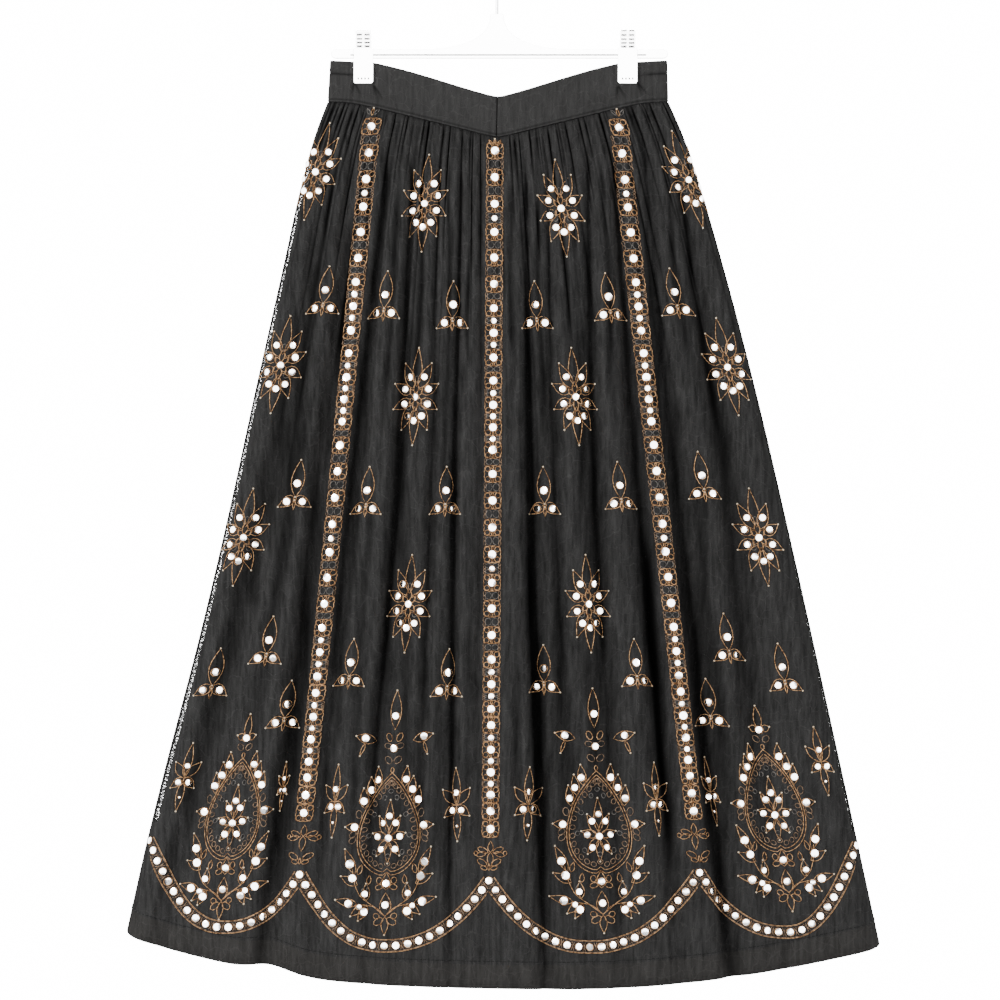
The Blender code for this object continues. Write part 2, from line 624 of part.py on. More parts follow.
def build_zip(steel):
    """The slider at the top of the centre-back seam, and its pull tab, whose knuckle turns on a cross pin.

    The tab's parent empty lies on the pin's axis, about which the tab swings away from the cloth.
    """
    top = -(BAND_TOP + float(point_drop(POINT_X)) + SLIDER_BELOW_TOP)
    seat = 0.5 * SEAM_GAP + BAND_END_RADIUS + BAND_BOW + SEAM_GAP
    face = seat + SLIDER_THICK
    middle = (POINT_X, 0.5 * (seat + face), top - 0.5 * SLIDER_HEIGHT)
    plate = box_mesh("zip_slider", (SLIDER_WIDTH, SLIDER_THICK, SLIDER_HEIGHT), middle)
    slider = link("zip_slider", plate, steel)
    pin = (POINT_X, face + KNUCKLE_RADIUS + SEAM_GAP, top - 0.5 * EAR_HEIGHT)
    ear_reach = KNUCKLE_RADIUS + SEAM_GAP + PIN_RADIUS + EAR_WALL
    ear_x = 0.5 * (PULL_NECK + EAR_THICK) + SEAM_GAP
    pieces = [rod_mesh("pin", PIN_RADIUS, 2 * ear_x, pin, 8)]
    for side in (-1, 1):
        centre = (POINT_X + side * ear_x, face + 0.5 * ear_reach - 0.5 * EAR_ROOT, pin[2])
        pieces.append(box_mesh("ear", (EAR_THICK, ear_reach + EAR_ROOT, EAR_HEIGHT), centre))
    combine(slider, pieces, "UNION")

    neck, wide = 0.5 * PULL_NECK, 0.5 * PULL_WIDTH
    outline = [(neck, 0.0), (-neck, 0.0), *arc((0.0, wide - PULL_LENGTH), wide, 180, 360, 8)]
    tab = link("zip_pull", flat_outline("zip_pull", outline, PULL_THICK), steel)
    combine(tab, [rod_mesh("knuckle", KNUCKLE_RADIUS, PULL_NECK, (0, 0, 0))], "UNION")
    combine(tab, [rod_mesh("bore", PIN_RADIUS + SEAM_GAP, 2 * PULL_WIDTH, (0, 0, 0))], "DIFFERENCE")
    hinge = bpy.data.objects.new("zip_pull_hinge", None)
    SKIRT.objects.link(hinge)
    hinge.location = pin
    tab.parent = hinge


def main():
    cloth = principled("embroidered_mesh", (0.045, 0.044, 0.044), 0.85)
    band = principled("waistband_cloth", (0.050, 0.049, 0.049), 0.85)
    lining = principled("lining", (0.018, 0.018, 0.019), 0.55)
    plastic = principled("hanger_plastic", (0.90, 0.90, 0.90), 0.35)
    steel = principled("hook_steel", (0.62, 0.62, 0.63), 0.2, 1.0)
    build_panel("skirt_front", False, 0, GATHERS, 0.0, cloth)
    build_panel("skirt_back_left", True, 0, GATHERS // 2, -0.5 * SEAM_GAP, cloth)
    build_panel("skirt_back_right", True, GATHERS // 2, GATHERS, 0.5 * SEAM_GAP, cloth)
    for face, behind in (("front", False), ("back", True)):
        build_waistband(f"waistband_{face}_left", behind, -1, band)
        build_waistband(f"waistband_{face}_right", behind, 1, band)
        build_lining(f"lining_{face}", behind, lining)
    build_hanger_bar(plastic)
    build_hook(steel)
    build_clips(plastic, steel)
    build_zip(steel)


for old in list(bpy.data.objects):
    bpy.data.objects.remove(old)
SKIRT = bpy.data.collections.new("midi_skirt_on_hanger")
bpy.context.scene.collection.children.link(SKIRT)
main()
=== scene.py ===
"""The looks of a midi skirt on a clip hanger: gathered see-through cloth over a black lining, worked with
small mirrors and copper thread, and a white hanger with a wire hook. Metres, +Z up, the front faces -Y.
"""

from collections import namedtuple

import bpy
import numpy as np
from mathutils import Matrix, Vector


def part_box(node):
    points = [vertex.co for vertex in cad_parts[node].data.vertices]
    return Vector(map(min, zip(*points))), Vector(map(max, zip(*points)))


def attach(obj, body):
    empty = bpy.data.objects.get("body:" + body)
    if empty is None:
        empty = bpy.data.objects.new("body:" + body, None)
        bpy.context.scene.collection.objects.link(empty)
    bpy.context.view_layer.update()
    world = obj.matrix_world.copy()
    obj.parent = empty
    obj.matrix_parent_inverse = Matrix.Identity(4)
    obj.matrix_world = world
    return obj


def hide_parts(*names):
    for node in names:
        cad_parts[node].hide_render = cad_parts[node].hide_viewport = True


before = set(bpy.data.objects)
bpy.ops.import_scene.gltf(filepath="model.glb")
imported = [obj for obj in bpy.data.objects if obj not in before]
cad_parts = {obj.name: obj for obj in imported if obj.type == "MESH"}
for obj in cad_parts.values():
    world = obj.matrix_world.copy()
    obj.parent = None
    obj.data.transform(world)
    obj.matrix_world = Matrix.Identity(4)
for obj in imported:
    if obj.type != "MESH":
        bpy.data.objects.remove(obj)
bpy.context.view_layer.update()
BODY = "skirt"

# The camera and the studio. The camera stands squarely in front, level with the middle of the skirt, and
# plain white light comes from all round, with a large soft lamp above to the left that shades the folds.
CAMERA_DISTANCE = 6.0
CAMERA_HEIGHT = -0.552
FRAME_WIDTH = 1.0
FLOOR_HEIGHT = -1.5
FLOOR_RADIUS = 2.4
FLOOR_SIDES = 64

camera_data = bpy.data.cameras.new("camera")
camera_data.sensor_width = 36.0
camera_data.lens = 36.0 * CAMERA_DISTANCE / FRAME_WIDTH
camera = bpy.data.objects.new("camera", camera_data)
camera.location = (0.0, -CAMERA_DISTANCE, CAMERA_HEIGHT)
camera.rotation_euler = (0.5 * np.pi, 0.0, 0.0)
bpy.context.scene.collection.objects.link(camera)
bpy.context.scene.camera = camera

SOFT_LIGHT = 0.30
GLOSSY_LIGHT = 9.0
BACKDROP = 16.0


def add_node(tree, kind, inputs, **settings):
    """A new node with its settings, and its inputs, each a value or another node's output."""
    node = tree.nodes.new(kind)
    for setting, value in settings.items():
        setattr(node, setting, value)
    for name, value in inputs.items():
        if isinstance(value, bpy.types.NodeSocket):
            tree.links.new(value, node.inputs[name])
        else:
            node.inputs[name].default_value = value
    return node


world = bpy.data.worlds.new("studio")
world.use_nodes = True
world_tree = world.node_tree
rays = world_tree.nodes.new("ShaderNodeLightPath").outputs
strength = {"Factor": rays["Is Glossy Ray"], "A": SOFT_LIGHT, "B": GLOSSY_LIGHT}
strength = add_node(world_tree, "ShaderNodeMix", strength)
backdrop = {"Factor": rays["Is Camera Ray"], "A": strength.outputs["Result"], "B": BACKDROP}
backdrop = add_node(world_tree, "ShaderNodeMix", backdrop)
sky = world_tree.nodes["Background"]
sky.inputs["Color"].default_value = (1.0, 1.0, 1.0, 1.0)
world_tree.links.new(backdrop.outputs["Result"], sky.inputs["Strength"])
bpy.context.scene.world = world


def add_lamp(name, place, aim, size, power, only=None):
    """A square soft lamp of side `size` at `place`, facing the point `aim`, lighting all or `only` some."""
    lamp = bpy.data.lights.new(name, "AREA")
    lamp.size = size
    lamp.energy = power
    holder = bpy.data.objects.new(name, lamp)
    holder.location = place
    away = np.array(place) - np.array(aim)
    flat = np.hypot(away[0], away[1])
    holder.rotation_euler = (np.arctan2(flat, away[2]), 0.0, np.arctan2(away[0], -away[1]))
    bpy.context.scene.collection.objects.link(holder)
    if only is not None:
        holder.light_linking.receiver_collection = only


add_lamp("key_lamp", (-2.4, -1.9, 0.3), (0.0, 0.0, -0.55), 0.6, 95.0)
add_lamp("side_lamp", (2.8, -1.3, -0.2), (0.0, 0.0, -0.55), 0.5, 45.0)
add_lamp("back_lamp", (0.8, 3.2, 0.3), (0.0, 0.0, -0.55), 1.0, 70.0)

# The hanger's own lamps, from the front and from behind, which wash it out to white as in the photo
hanger_lit = bpy.data.collections.new("hanger_lit")
bpy.context.scene.collection.children.link(hanger_lit)
add_lamp("hanger_lamp", (0.0, -1.6, 0.5), (0.0, 0.0, -0.08), 1.0, 420.0, hanger_lit)
add_lamp("hanger_back_lamp", (0.0, 1.6, 0.5), (0.0, 0.0, -0.08), 1.0, 260.0, hanger_lit)


def shaded(name):
    """A new material, with its node tree and its Principled shader."""
    material = bpy.data.materials.new(name)
    material.use_nodes = True
    return material, material.node_tree, material.node_tree.nodes["Principled BSDF"]


def add_mesh(name, points, faces, uv=None, smooth=True):
    """A mesh object at the origin. `uv` gives each point its place on the cloth, in metres."""
    mesh = bpy.data.meshes.new(name)
    mesh.from_pydata(points.reshape(-1, 3).tolist(), [], faces if isinstance(faces, list) else faces.tolist())
    if uv is not None:
        corners = np.empty(len(mesh.loops), dtype=np.int32)
        mesh.loops.foreach_get("vertex_index", corners)
        layer = mesh.uv_layers.new(name="cloth")
        layer.data.foreach_set("uv", uv.reshape(-1, 2)[corners].astype(np.float32).ravel())
    if smooth:
        mesh.shade_smooth()
    piece = bpy.data.objects.new(name, mesh)
    bpy.context.scene.collection.objects.link(piece)
    return piece


def dress(piece, slot, *materials):
    """Gives a piece its materials, and lets it ride on the skirt's body. Its `slot` is not used."""
    for material in materials:
        piece.data.materials.append(material)
    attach(piece, BODY)
    return piece


def grid_faces(rows, columns, wrap=False):
    """Quads between neighbouring rows and columns of points, and round to the first column if `wrap`."""
    last = columns if wrap else columns - 1
    row, column = np.meshgrid(np.arange(rows - 1), np.arange(last), indexing="ij")
    beside = (column + 1) % columns
    corners = (row * columns + column, (row + 1) * columns + column)
    corners += ((row + 1) * columns + beside, row * columns + beside)
    return np.stack(corners, axis=-1).reshape(-1, 4)


floor_material, _, floor_shader = shaded("studio_floor")
floor_shader.inputs["Base Color"].default_value = (0.92, 0.92, 0.92, 1.0)
floor_shader.inputs["Roughness"].default_value = 0.9
floor_turn = np.linspace(0, 2 * np.pi, FLOOR_SIDES + 1)[:-1]
floor_turn, floor_reach = np.meshgrid(floor_turn, (0.0, FLOOR_RADIUS))
floor_points = [floor_reach * np.cos(floor_turn), floor_reach * np.sin(floor_turn)]
floor_points = np.stack([*floor_points, np.full_like(floor_turn, FLOOR_HEIGHT)], axis=-1)
floor = add_mesh("studio_floor", floor_points, grid_faces(2, FLOOR_SIDES, wrap=True)[:, ::-1], smooth=False)
floor.data.materials.append(floor_material)


# The skirt's form: two gathered panels between the waistband's V and an arched hem, hanging in deep folds.
# The sizes below are those of the solids, but for 1 to 3 mm more on the right and a hem that lifts a little
# between the folds. Every cloth piece and every stitch is placed on this form.
BAND_TOP, BAND_HEIGHT, SEAM_GAP = 0.1135, 0.040, 0.0003
HEM_LEFT, HEM_CENTRE, HEM_RIGHT, HEM_ROUNDNESS = 0.9820, 1.0400, 0.9950, 2.2
POINT_X, POINT_DROP, POINT_SLOPE, POINT_ROUNDING = -0.002, 0.0370, 0.25, 0.004

Section = namedtuple("Section", "level left right end_radius bow")
SKIRT_SECTIONS = [Section(*row) for row in (
    (0.000, 0.1725, 0.1685, 0.0075, 0.0030),
    (0.035, 0.1835, 0.1815, 0.0090, 0.0060),
    (0.100, 0.1985, 0.2000, 0.0115, 0.0105),
    (0.200, 0.2170, 0.2245, 0.0140, 0.0148),
    (0.350, 0.2450, 0.2573, 0.0165, 0.0195),
    (0.500, 0.2720, 0.2868, 0.0190, 0.0240),
    (0.650, 0.3015, 0.3150, 0.0210, 0.0280),
    (0.800, 0.3340, 0.3428, 0.0230, 0.0315),
    (0.900, 0.3545, 0.3612, 0.0240, 0.0335),
    (1.000, 0.3730, 0.3795, 0.0250, 0.0350),
)]

# Where the hem lifts off its even arch, in bell-shaped steps
HemLift = namedtuple("HemLift", "across height width")
HEM_LIFTS = (HemLift(-0.59, 0.0070, 0.065), HemLift(-0.10, 0.0042, 0.34))

GATHERS, GATHER_HEIGHT, GATHER_FADE, GATHER_SEWN, GATHER_FREE = 54, 0.0015, 0.085, 0.30, 0.012
GATHER_DEEPENED, GATHER_SHARPNESS = 1.8, 0.75
PUCKER_HEIGHT, PUCKER_FADE, PUCKERS = 0.0005, 0.03, 1.57

FOLD_LEVELS = (0.08, 0.46, 0.76, 1.0)
Fold = namedtuple("Fold", "top middle low hem deep_top deep_middle deep_low deep_hem left right")
FRONT_FOLDS = [Fold(*row) for row in (
    (-0.170, -0.230, -0.294, -0.345, 0.005, 0.014, 0.011, 0.003, 0.010, 0.012),
    (-0.148, -0.182, -0.210, -0.238, 0.008, 0.014, 0.019, 0.008, 0.010, 0.012),
    (-0.113, -0.148, -0.172, -0.190, 0.009, 0.014, 0.008, 0.002, 0.008, 0.009),
    (-0.088, -0.104, -0.124, -0.136, 0.010, 0.016, 0.010, 0.003, 0.007, 0.011),
    (-0.060, -0.069, -0.078, -0.085, 0.005, 0.008, 0.006, 0.002, 0.006, 0.008),
    (-0.038, -0.045, -0.047, -0.050, 0.006, 0.011, 0.009, 0.004, 0.006, 0.005),
    (-0.018, -0.019, -0.022, -0.022, 0.003, 0.004, 0.003, 0.001, 0.006, 0.006),
    (0.025, 0.029, 0.037, 0.044, 0.009, 0.017, 0.018, 0.007, 0.005, 0.013),
    (0.048, 0.057, 0.073, 0.088, 0.005, 0.009, 0.006, 0.002, 0.007, 0.008),
    (0.089, 0.098, 0.112, 0.122, 0.009, 0.015, 0.009, 0.003, 0.011, 0.008),
    (0.115, 0.140, 0.161, 0.178, 0.010, 0.015, 0.011, 0.003, 0.009, 0.010),
    (0.145, 0.176, 0.204, 0.229, 0.009, 0.016, 0.020, 0.012, 0.006, 0.013),
    (0.178, 0.229, 0.256, 0.278, 0.006, 0.014, 0.009, 0.002, 0.010, 0.011),
)]
BACK_FOLD_SHIFT, BACK_FOLD_DEPTH, FOLD_REACH, FOLD_START = 0.007, 0.88, 0.55, 0.012
FOLD_SIDE_FADE, FOLD_SIDE_START, TOP_NARROWING = 0.022, 0.4, 0.55

# The straight columns of embroidery, in millimetres as seen from the front. They stiffen the cloth, so the
# gathers lie flatter along them.
MM = 0.001
Column = namedtuple("Column", "top_x top_height foot_x foot_height")
COLUMNS = [Column(*row) for row in (
    (-126.5, -159, -195.5, -871),
    (-5.0, -193, -9.5, -886),
    (117.0, -160, 193.0, -869),
)]
COLUMN_CALM, CALM_HALF = 0.72, 0.010

# Finer creases between the folds: where each starts and ends, how far in it lies, and its width
Crease = namedtuple("Crease", "top_x top_level low_x low_level depth width")
CREASES = [Crease(*row) for row in (
    (-0.163, 0.05, -0.232, 0.62, 0.0016, 0.0040),
    (-0.136, 0.04, -0.168, 0.36, 0.0021, 0.0034),
    (-0.185, 0.30, -0.262, 0.86, 0.0015, 0.0060),
    (-0.123, 0.02, -0.140, 0.25, 0.0018, 0.0026),
    (-0.096, 0.04, -0.121, 0.42, 0.0016, 0.0030),
    (-0.128, 0.40, -0.152, 0.94, 0.0013, 0.0060),
    (-0.074, 0.03, -0.086, 0.38, 0.0022, 0.0030),
    (-0.086, 0.45, -0.104, 0.96, 0.0014, 0.0064),
    (-0.049, 0.02, -0.056, 0.52, 0.0017, 0.0026),
    (-0.058, 0.55, -0.064, 0.98, 0.0012, 0.0055),
    (-0.028, 0.03, -0.032, 0.30, 0.0020, 0.0024),
    (-0.030, 0.42, -0.034, 0.90, 0.0011, 0.0050),
    (-0.006, 0.10, -0.005, 0.50, 0.0008, 0.0040),
    (0.010, 0.02, 0.014, 0.35, 0.0017, 0.0026),
    (0.016, 0.50, 0.020, 0.97, 0.0012, 0.0048),
    (0.037, 0.03, 0.045, 0.44, 0.0023, 0.0028),
    (0.055, 0.52, 0.066, 0.98, 0.0013, 0.0060),
    (0.060, 0.02, 0.071, 0.33, 0.0018, 0.0028),
    (0.074, 0.05, 0.084, 0.55, 0.0015, 0.0036),
    (0.086, 0.56, 0.100, 0.97, 0.0012, 0.0070),
    (0.101, 0.03, 0.117, 0.40, 0.0020, 0.0030),
    (0.127, 0.02, 0.150, 0.34, 0.0019, 0.0028),
    (0.144, 0.45, 0.178, 0.95, 0.0014, 0.0060),
    (0.136, 0.05, 0.172, 0.52, 0.0016, 0.0034),
    (0.159, 0.03, 0.194, 0.36, 0.0020, 0.0034),
    (0.190, 0.38, 0.240, 0.92, 0.0016, 0.0064),
    (0.173, 0.06, 0.232, 0.48, 0.0015, 0.0040),
)]
CREASE_SWAY, RIPPLE_DEPTH, RIPPLE_START = 0.0015, 0.00055, 0.05

# How much painted shade, towards the darkest tone, a deep fold, a gather's valley and a deep crease bring,
# and how deep they are
FOLD_SHADE, GATHER_SHADE, CREASE_SHADE, DEEP_FOLD, DEEP_CREASE = 0.80, 0.95, 0.70, 0.015, 0.002


def smooth_between(knots, values, at):
    """The values at the knots, joined by cubics that leave and meet each knot at its neighbours' slope."""
    knots, values, at = (np.asarray(x, float) for x in (knots, values, at))
    slopes = np.gradient(values, knots)
    i = np.clip(np.searchsorted(knots, at) - 1, 0, len(knots) - 2)
    width = knots[i + 1] - knots[i]
    f = np.clip((at - knots[i]) / width, 0.0, 1.0)
    rise = values[i + 1] - values[i]
    turn_in = slopes[i] * width - rise
    turn_out = rise - slopes[i + 1] * width
    return values[i] + rise * f + f * (1 - f) * ((1 - f) * turn_in + f * turn_out)


def smooth_step(x):
    """0 below 0 and 1 above 1, and in between three times x squared less twice x cubed."""
    x = np.clip(x, 0.0, 1.0)
    return x * x * (3 - 2 * x)


def skirt_ring(level):
    """The ring's reach to the left and right, its end radius and its bow at each level, from the table."""
    knots = [row.level for row in SKIRT_SECTIONS]
    return [smooth_between(knots, [row[k] for row in SKIRT_SECTIONS], level) for k in range(1, 5)]


def half_ring(across, left, right, end_radius, bow):
    """The front half of a flattened ring and its outward direction: quarter circles at the side seams,
    and between them a bow of one less the square of the distance from the middle, to the power 1.5."""
    centre = 0.5 * (right - left)
    straight = 0.5 * (right + left) - end_radius
    share = straight / (straight + 0.5 * np.pi * end_radius)
    q = np.clip(across / share, -1.0, 1.0)
    turn = np.maximum(np.abs(across) - share, 0.0) / (1.0 - share) * 0.5 * np.pi
    lift = np.maximum(1.0 - q**2, 0.0)
    x = centre + straight * q + end_radius * np.sin(turn) * np.sign(across)
    y = -(end_radius * np.cos(turn) + bow * lift**1.5)
    out_x = np.where(turn > 0.0, np.sin(turn) * np.sign(across), 3.0 * bow * q * np.sqrt(lift) / straight)
    out_y = np.where(turn > 0.0, -np.cos(turn), -1.0)
    length = np.hypot(out_x, out_y)
    return x, y, out_x / length, out_y / length


def point_drop(x):
    """How far the waistband's V lowers it at x: a straight slope each way, with its corners eased."""
    slope = POINT_DROP - POINT_SLOPE * np.sqrt((x - POINT_X) ** 2 + POINT_ROUNDING**2)
    return 0.5 * (slope + np.sqrt(slope**2 + POINT_ROUNDING**2))


def seam_and_hem(across):
    """The heights of the waist seam and of the hem's lower edge at a place across the skirt."""
    seam_x = half_ring(across, *skirt_ring(0.0))[0]
    seam = -(BAND_TOP + BAND_HEIGHT + SEAM_GAP) - point_drop(seam_x)
    side = np.where(across < 0, HEM_LEFT, HEM_RIGHT)
    hem = -side - (HEM_CENTRE - side) * (1.0 - np.abs(across) ** HEM_ROUNDNESS)
    for lift in HEM_LIFTS:
        hem = hem + lift.height * np.exp(-(((across - lift.across) / lift.width) ** 2))
    return seam, hem


def fold_depth(x, level, base_depth, left, right, face):
    """How far the folds push the cloth in: a sum of bell-shaped troughs, held below a share of the ring's
    depth by a hyperbolic tangent, and faded out at the waist and side seams."""
    across = np.where(face < 0, -x + BACK_FOLD_SHIFT, x)
    total = np.zeros_like(x)
    for fold in FRONT_FOLDS:
        path = smooth_between(FOLD_LEVELS, fold[0:4], level)
        depth = smooth_between(FOLD_LEVELS, fold[4:8], level)
        narrow = 1.0 - TOP_NARROWING * (1.0 - smooth_step(level / FOLD_LEVELS[1]))
        width = np.where(across < path, fold.left, fold.right) * narrow
        total += depth * np.exp(-(((across - path) / width) ** 2))
    total *= np.where(face < 0, BACK_FOLD_DEPTH, 1.0)
    most = FOLD_REACH * base_depth
    start = smooth_step((level - FOLD_START) / (FOLD_LEVELS[0] - FOLD_START))
    side = smooth_step(np.minimum(x + left, right - x) / FOLD_SIDE_FADE - FOLD_SIDE_START)
    return most * np.tanh(total / most) * start * side


def gather_rise(gather, level):
    """The gathers under the band: cosine waves of uneven width, each with its own height and its own fading
    length, with a finer pucker between them that dies out within a few centimetres."""
    pushed = 0.42 * np.sin(1.9 * gather + 0.4) + 0.25 * np.sin(4.3 * gather + 2.0)
    gather = gather + pushed * smooth_step(np.minimum(gather, GATHERS - gather) / 2.0)
    each = np.floor(gather + 0.5)
    uneven = 0.72 + 0.32 * np.sin(2.4 * each + 0.7)
    reach = GATHER_FADE * (1.0 + 0.65 * np.sin(1.7 * each))
    ends = smooth_step(np.minimum(gather, GATHERS - gather) / 1.5)
    freed = GATHER_SEWN + (1.0 - GATHER_SEWN) * smooth_step(level / GATHER_FREE)
    shape = 2.0 * (0.5 + 0.5 * np.cos(2 * np.pi * gather)) ** GATHER_SHARPNESS - 1.0
    wave = GATHER_HEIGHT * GATHER_DEEPENED * freed * uneven * np.exp(-level / reach) * shape
    pucker = np.cos(2 * np.pi * (PUCKERS * gather + 0.3 * np.sin(gather)))
    pucker = PUCKER_HEIGHT * np.exp(-level / PUCKER_FADE) * pucker
    return ends * (wave + pucker)


def calm_by_columns(x, height):
    """1 away from the columns of embroidery, and less along them, in the shape of a bell curve."""
    calm = np.zeros_like(x)
    for column in COLUMNS:
        share = (column.top_height * MM - height) / ((column.top_height - column.foot_height) * MM)
        middle = (column.top_x + (column.foot_x - column.top_x) * share) * MM
        calm = calm + np.exp(-(((x - middle) / CALM_HALF) ** 2))
    return 1.0 - COLUMN_CALM * np.minimum(calm, 1.0)


def crease_depth(x, level, face):
    """The finer creases: straight, soft troughs that thin out towards both ends, and under them a slow,
    uneven waviness from crossed sines."""
    across = np.where(face < 0, -x - BACK_FOLD_SHIFT, x)
    total = np.zeros_like(x)
    for crease in CREASES:
        along = (level - crease.top_level) / (crease.low_level - crease.top_level)
        middle = crease.top_x + (crease.low_x - crease.top_x) * along
        middle = middle + CREASE_SWAY * np.sin(9.0 * along + 40.0 * crease.top_x)
        fade = smooth_step(along * 6.0) * smooth_step((1.0 - along) * 2.5)
        width = crease.width * (0.8 + 0.6 * np.clip(along, 0.0, 1.0))
        total += crease.depth * fade * np.exp(-(((across - middle) / width) ** 2))
    ripple = np.sin(310 * across + 2.2 * np.sin(7 * level + 31 * across) + 1.3 * face)
    ripple = ripple * np.sin(71 * across + 9 * level + face) * np.sin(23 * level + 47 * across)
    return total + RIPPLE_DEPTH * ripple * smooth_step(level / RIPPLE_START)


def skirt_surface(across, level, face, raised=0.0):
    """The outer face of the cloth, `face` 1 on the front and -1 on the back: the ring at that level, pushed
    in by the folds and creases and out by the gathers, and then out by `raised` along the ring."""
    left, right, end_radius, bow = skirt_ring(level)
    x, y, out_x, out_y = half_ring(across, left, right, end_radius, bow)
    seam, hem = seam_and_hem(across)
    height = seam + (hem - seam) * level
    gathers = gather_rise(GATHERS * 0.5 * (across + 1), level) * calm_by_columns(x, height)
    inward = fold_depth(x, level, -y, left, right, face) - gathers
    side = smooth_step(np.minimum(x + left, right - x) / FOLD_SIDE_FADE)
    inward = inward + crease_depth(x, level, face) * side - raised
    x = x - out_x * inward
    y = face * (y - out_y * inward - 0.5 * SEAM_GAP)
    return np.stack([x, y, height], axis=-1)


def painted_shade_of(across, level, face):
    """How hollow the cloth is, from 0 on a ridge to 1 in the deepest trough, for the painted shade there."""
    left, right, end_radius, bow = skirt_ring(level)
    x, y, _, _ = half_ring(across, left, right, end_radius, bow)
    seam, hem = seam_and_hem(across)
    folds = fold_depth(x, level, -y, left, right, face) / DEEP_FOLD
    calm = calm_by_columns(x, seam + (hem - seam) * level)
    gathers = gather_rise(GATHERS * 0.5 * (across + 1), level) * calm / GATHER_HEIGHT
    creases = crease_depth(x, level, face) / DEEP_CREASE
    return np.clip(FOLD_SHADE * folds - GATHER_SHADE * gathers + CREASE_SHADE * creases, 0.0, 1.0)


# The cloth: a fine, slightly crinkled see-through mesh, one panel for the front and two for the back, with
# the hem turned up 27 mm and stitched. Each panel is a thin shell, gathered into the waist seam.
CLOTH_COLUMNS, CLOTH_ROWS = 8 * GATHERS + 1, 104
COLUMN_CROWDING, ROW_CROWDING = 0.07, 0.45
CLOTH_THICK = 0.0006
HEM_TURN_UP = 0.027
# How dark the painted shade in the folds and creases goes, as a share of the dark tone
PAINTED_SHADE_TONE = 0.45
SHEER_GRAIN = 620.0
# Where the mesh reaches past the lining, from these places across the skirt to the seam, and how far down
SHEER_LEFT, SHEER_RIGHT, SEAM_ACROSS = 0.959, 0.972, 0.980
SHEER_LEVELS = 0.07, 0.86


def fine_crinkle(name):
    """A node group for crinkled cloth. From the cloth's own coordinates it gives a height for bump, made of
    creases that run down the cloth and of a net of fine vein-like lines, and a mask of small tone changes
    with painted light and shade on the creases, lighter on their ridges and darker in their troughs."""
    group = bpy.data.node_groups.new(name, "ShaderNodeTree")
    group.interface.new_socket("Vector", in_out="INPUT", socket_type="NodeSocketVector")
    group.interface.new_socket("Crease Shading", in_out="INPUT", socket_type="NodeSocketFloat")
    group.interface.new_socket("Height", in_out="OUTPUT", socket_type="NodeSocketFloat")
    group.interface.new_socket("Tone", in_out="OUTPUT", socket_type="NodeSocketFloat")
    links = group.links
    inputs = group.nodes.new("NodeGroupInput")
    outputs = group.nodes.new("NodeGroupOutput")
    cloth = inputs.outputs["Vector"]

    def noise(scale, detail, roughness):
        place = add_node(group, "ShaderNodeMapping", {"Scale": scale, "Vector": cloth}).outputs["Vector"]
        grain = {"Scale": 1.0, "Detail": detail, "Roughness": roughness, "Distortion": 0.0, "Vector": place}
        return add_node(group, "ShaderNodeTexNoise", grain, noise_dimensions="2D").outputs["Fac"]

    def combined(operation, first, second):
        return add_node(group, "ShaderNodeMath", {0: first, 1: second}, operation=operation).outputs["Value"]

    streaks = noise((260.0, 34.0, 1.0), 3.0, 0.6)
    warp = add_node(group, "ShaderNodeTexNoise", {"Scale": 60.0, "Vector": cloth}, noise_dimensions="2D")
    warp = {0: warp.outputs["Color"], 1: (0.012, 0.012, 0.0), 2: cloth}
    pushed = add_node(group, "ShaderNodeVectorMath", warp, operation="MULTIPLY_ADD").outputs["Vector"]
    edges = {"feature": "DISTANCE_TO_EDGE", "voronoi_dimensions": "2D"}
    veins = add_node(group, "ShaderNodeTexVoronoi", {"Scale": 85.0, "Vector": pushed}, **edges)
    line = add_node(group, "ShaderNodeMapRange", {"From Max": 0.07, "Value": veins.outputs["Distance"]})
    grain = noise((1500.0, 1500.0, 1.0), 1.0, 0.5)
    height = combined("MULTIPLY", streaks, 0.55)
    height = combined("SUBTRACT", height, combined("MULTIPLY", line.outputs["Result"], 0.30))
    height = combined("ADD", height, combined("MULTIPLY", grain, 0.12))
    links.new(height, outputs.inputs["Height"])
    # Painted light and shade: the tone follows the creases' height, lighter on their ridges, darker in
    # troughs
    crease_light_and_shade = combined("MULTIPLY", combined("SUBTRACT", streaks, 0.5), inputs.outputs["Crease Shading"])
    tone = combined("ADD", combined("ADD", crease_light_and_shade, 0.28), combined("MULTIPLY", grain, 0.45))
    tone = combined("SUBTRACT", tone, combined("MULTIPLY", line.outputs["Result"], 0.20))
    links.new(combined("ADD", tone, 0.18), outputs.inputs["Tone"])
    return group


def colour_mix(tree, factor, first, second):
    """The output of a node that mixes two colours, each given as numbers or by another node's output."""
    inputs = {"Factor": factor, "A": first, "B": second}
    for name in "AB":
        if not isinstance(inputs[name], bpy.types.NodeSocket):
            inputs[name] = (*inputs[name], 1.0)
    return add_node(tree, "ShaderNodeMix", inputs, data_type="RGBA").outputs["Result"]


def add_bump(tree, shader, height, depth):
    """Bumps a shader's surface by a height that a node gives, `depth` metres deep."""
    bump = add_node(tree, "ShaderNodeBump", {"Distance": depth, "Height": height})
    tree.links.new(bump.outputs["Normal"], shader.inputs["Normal"])


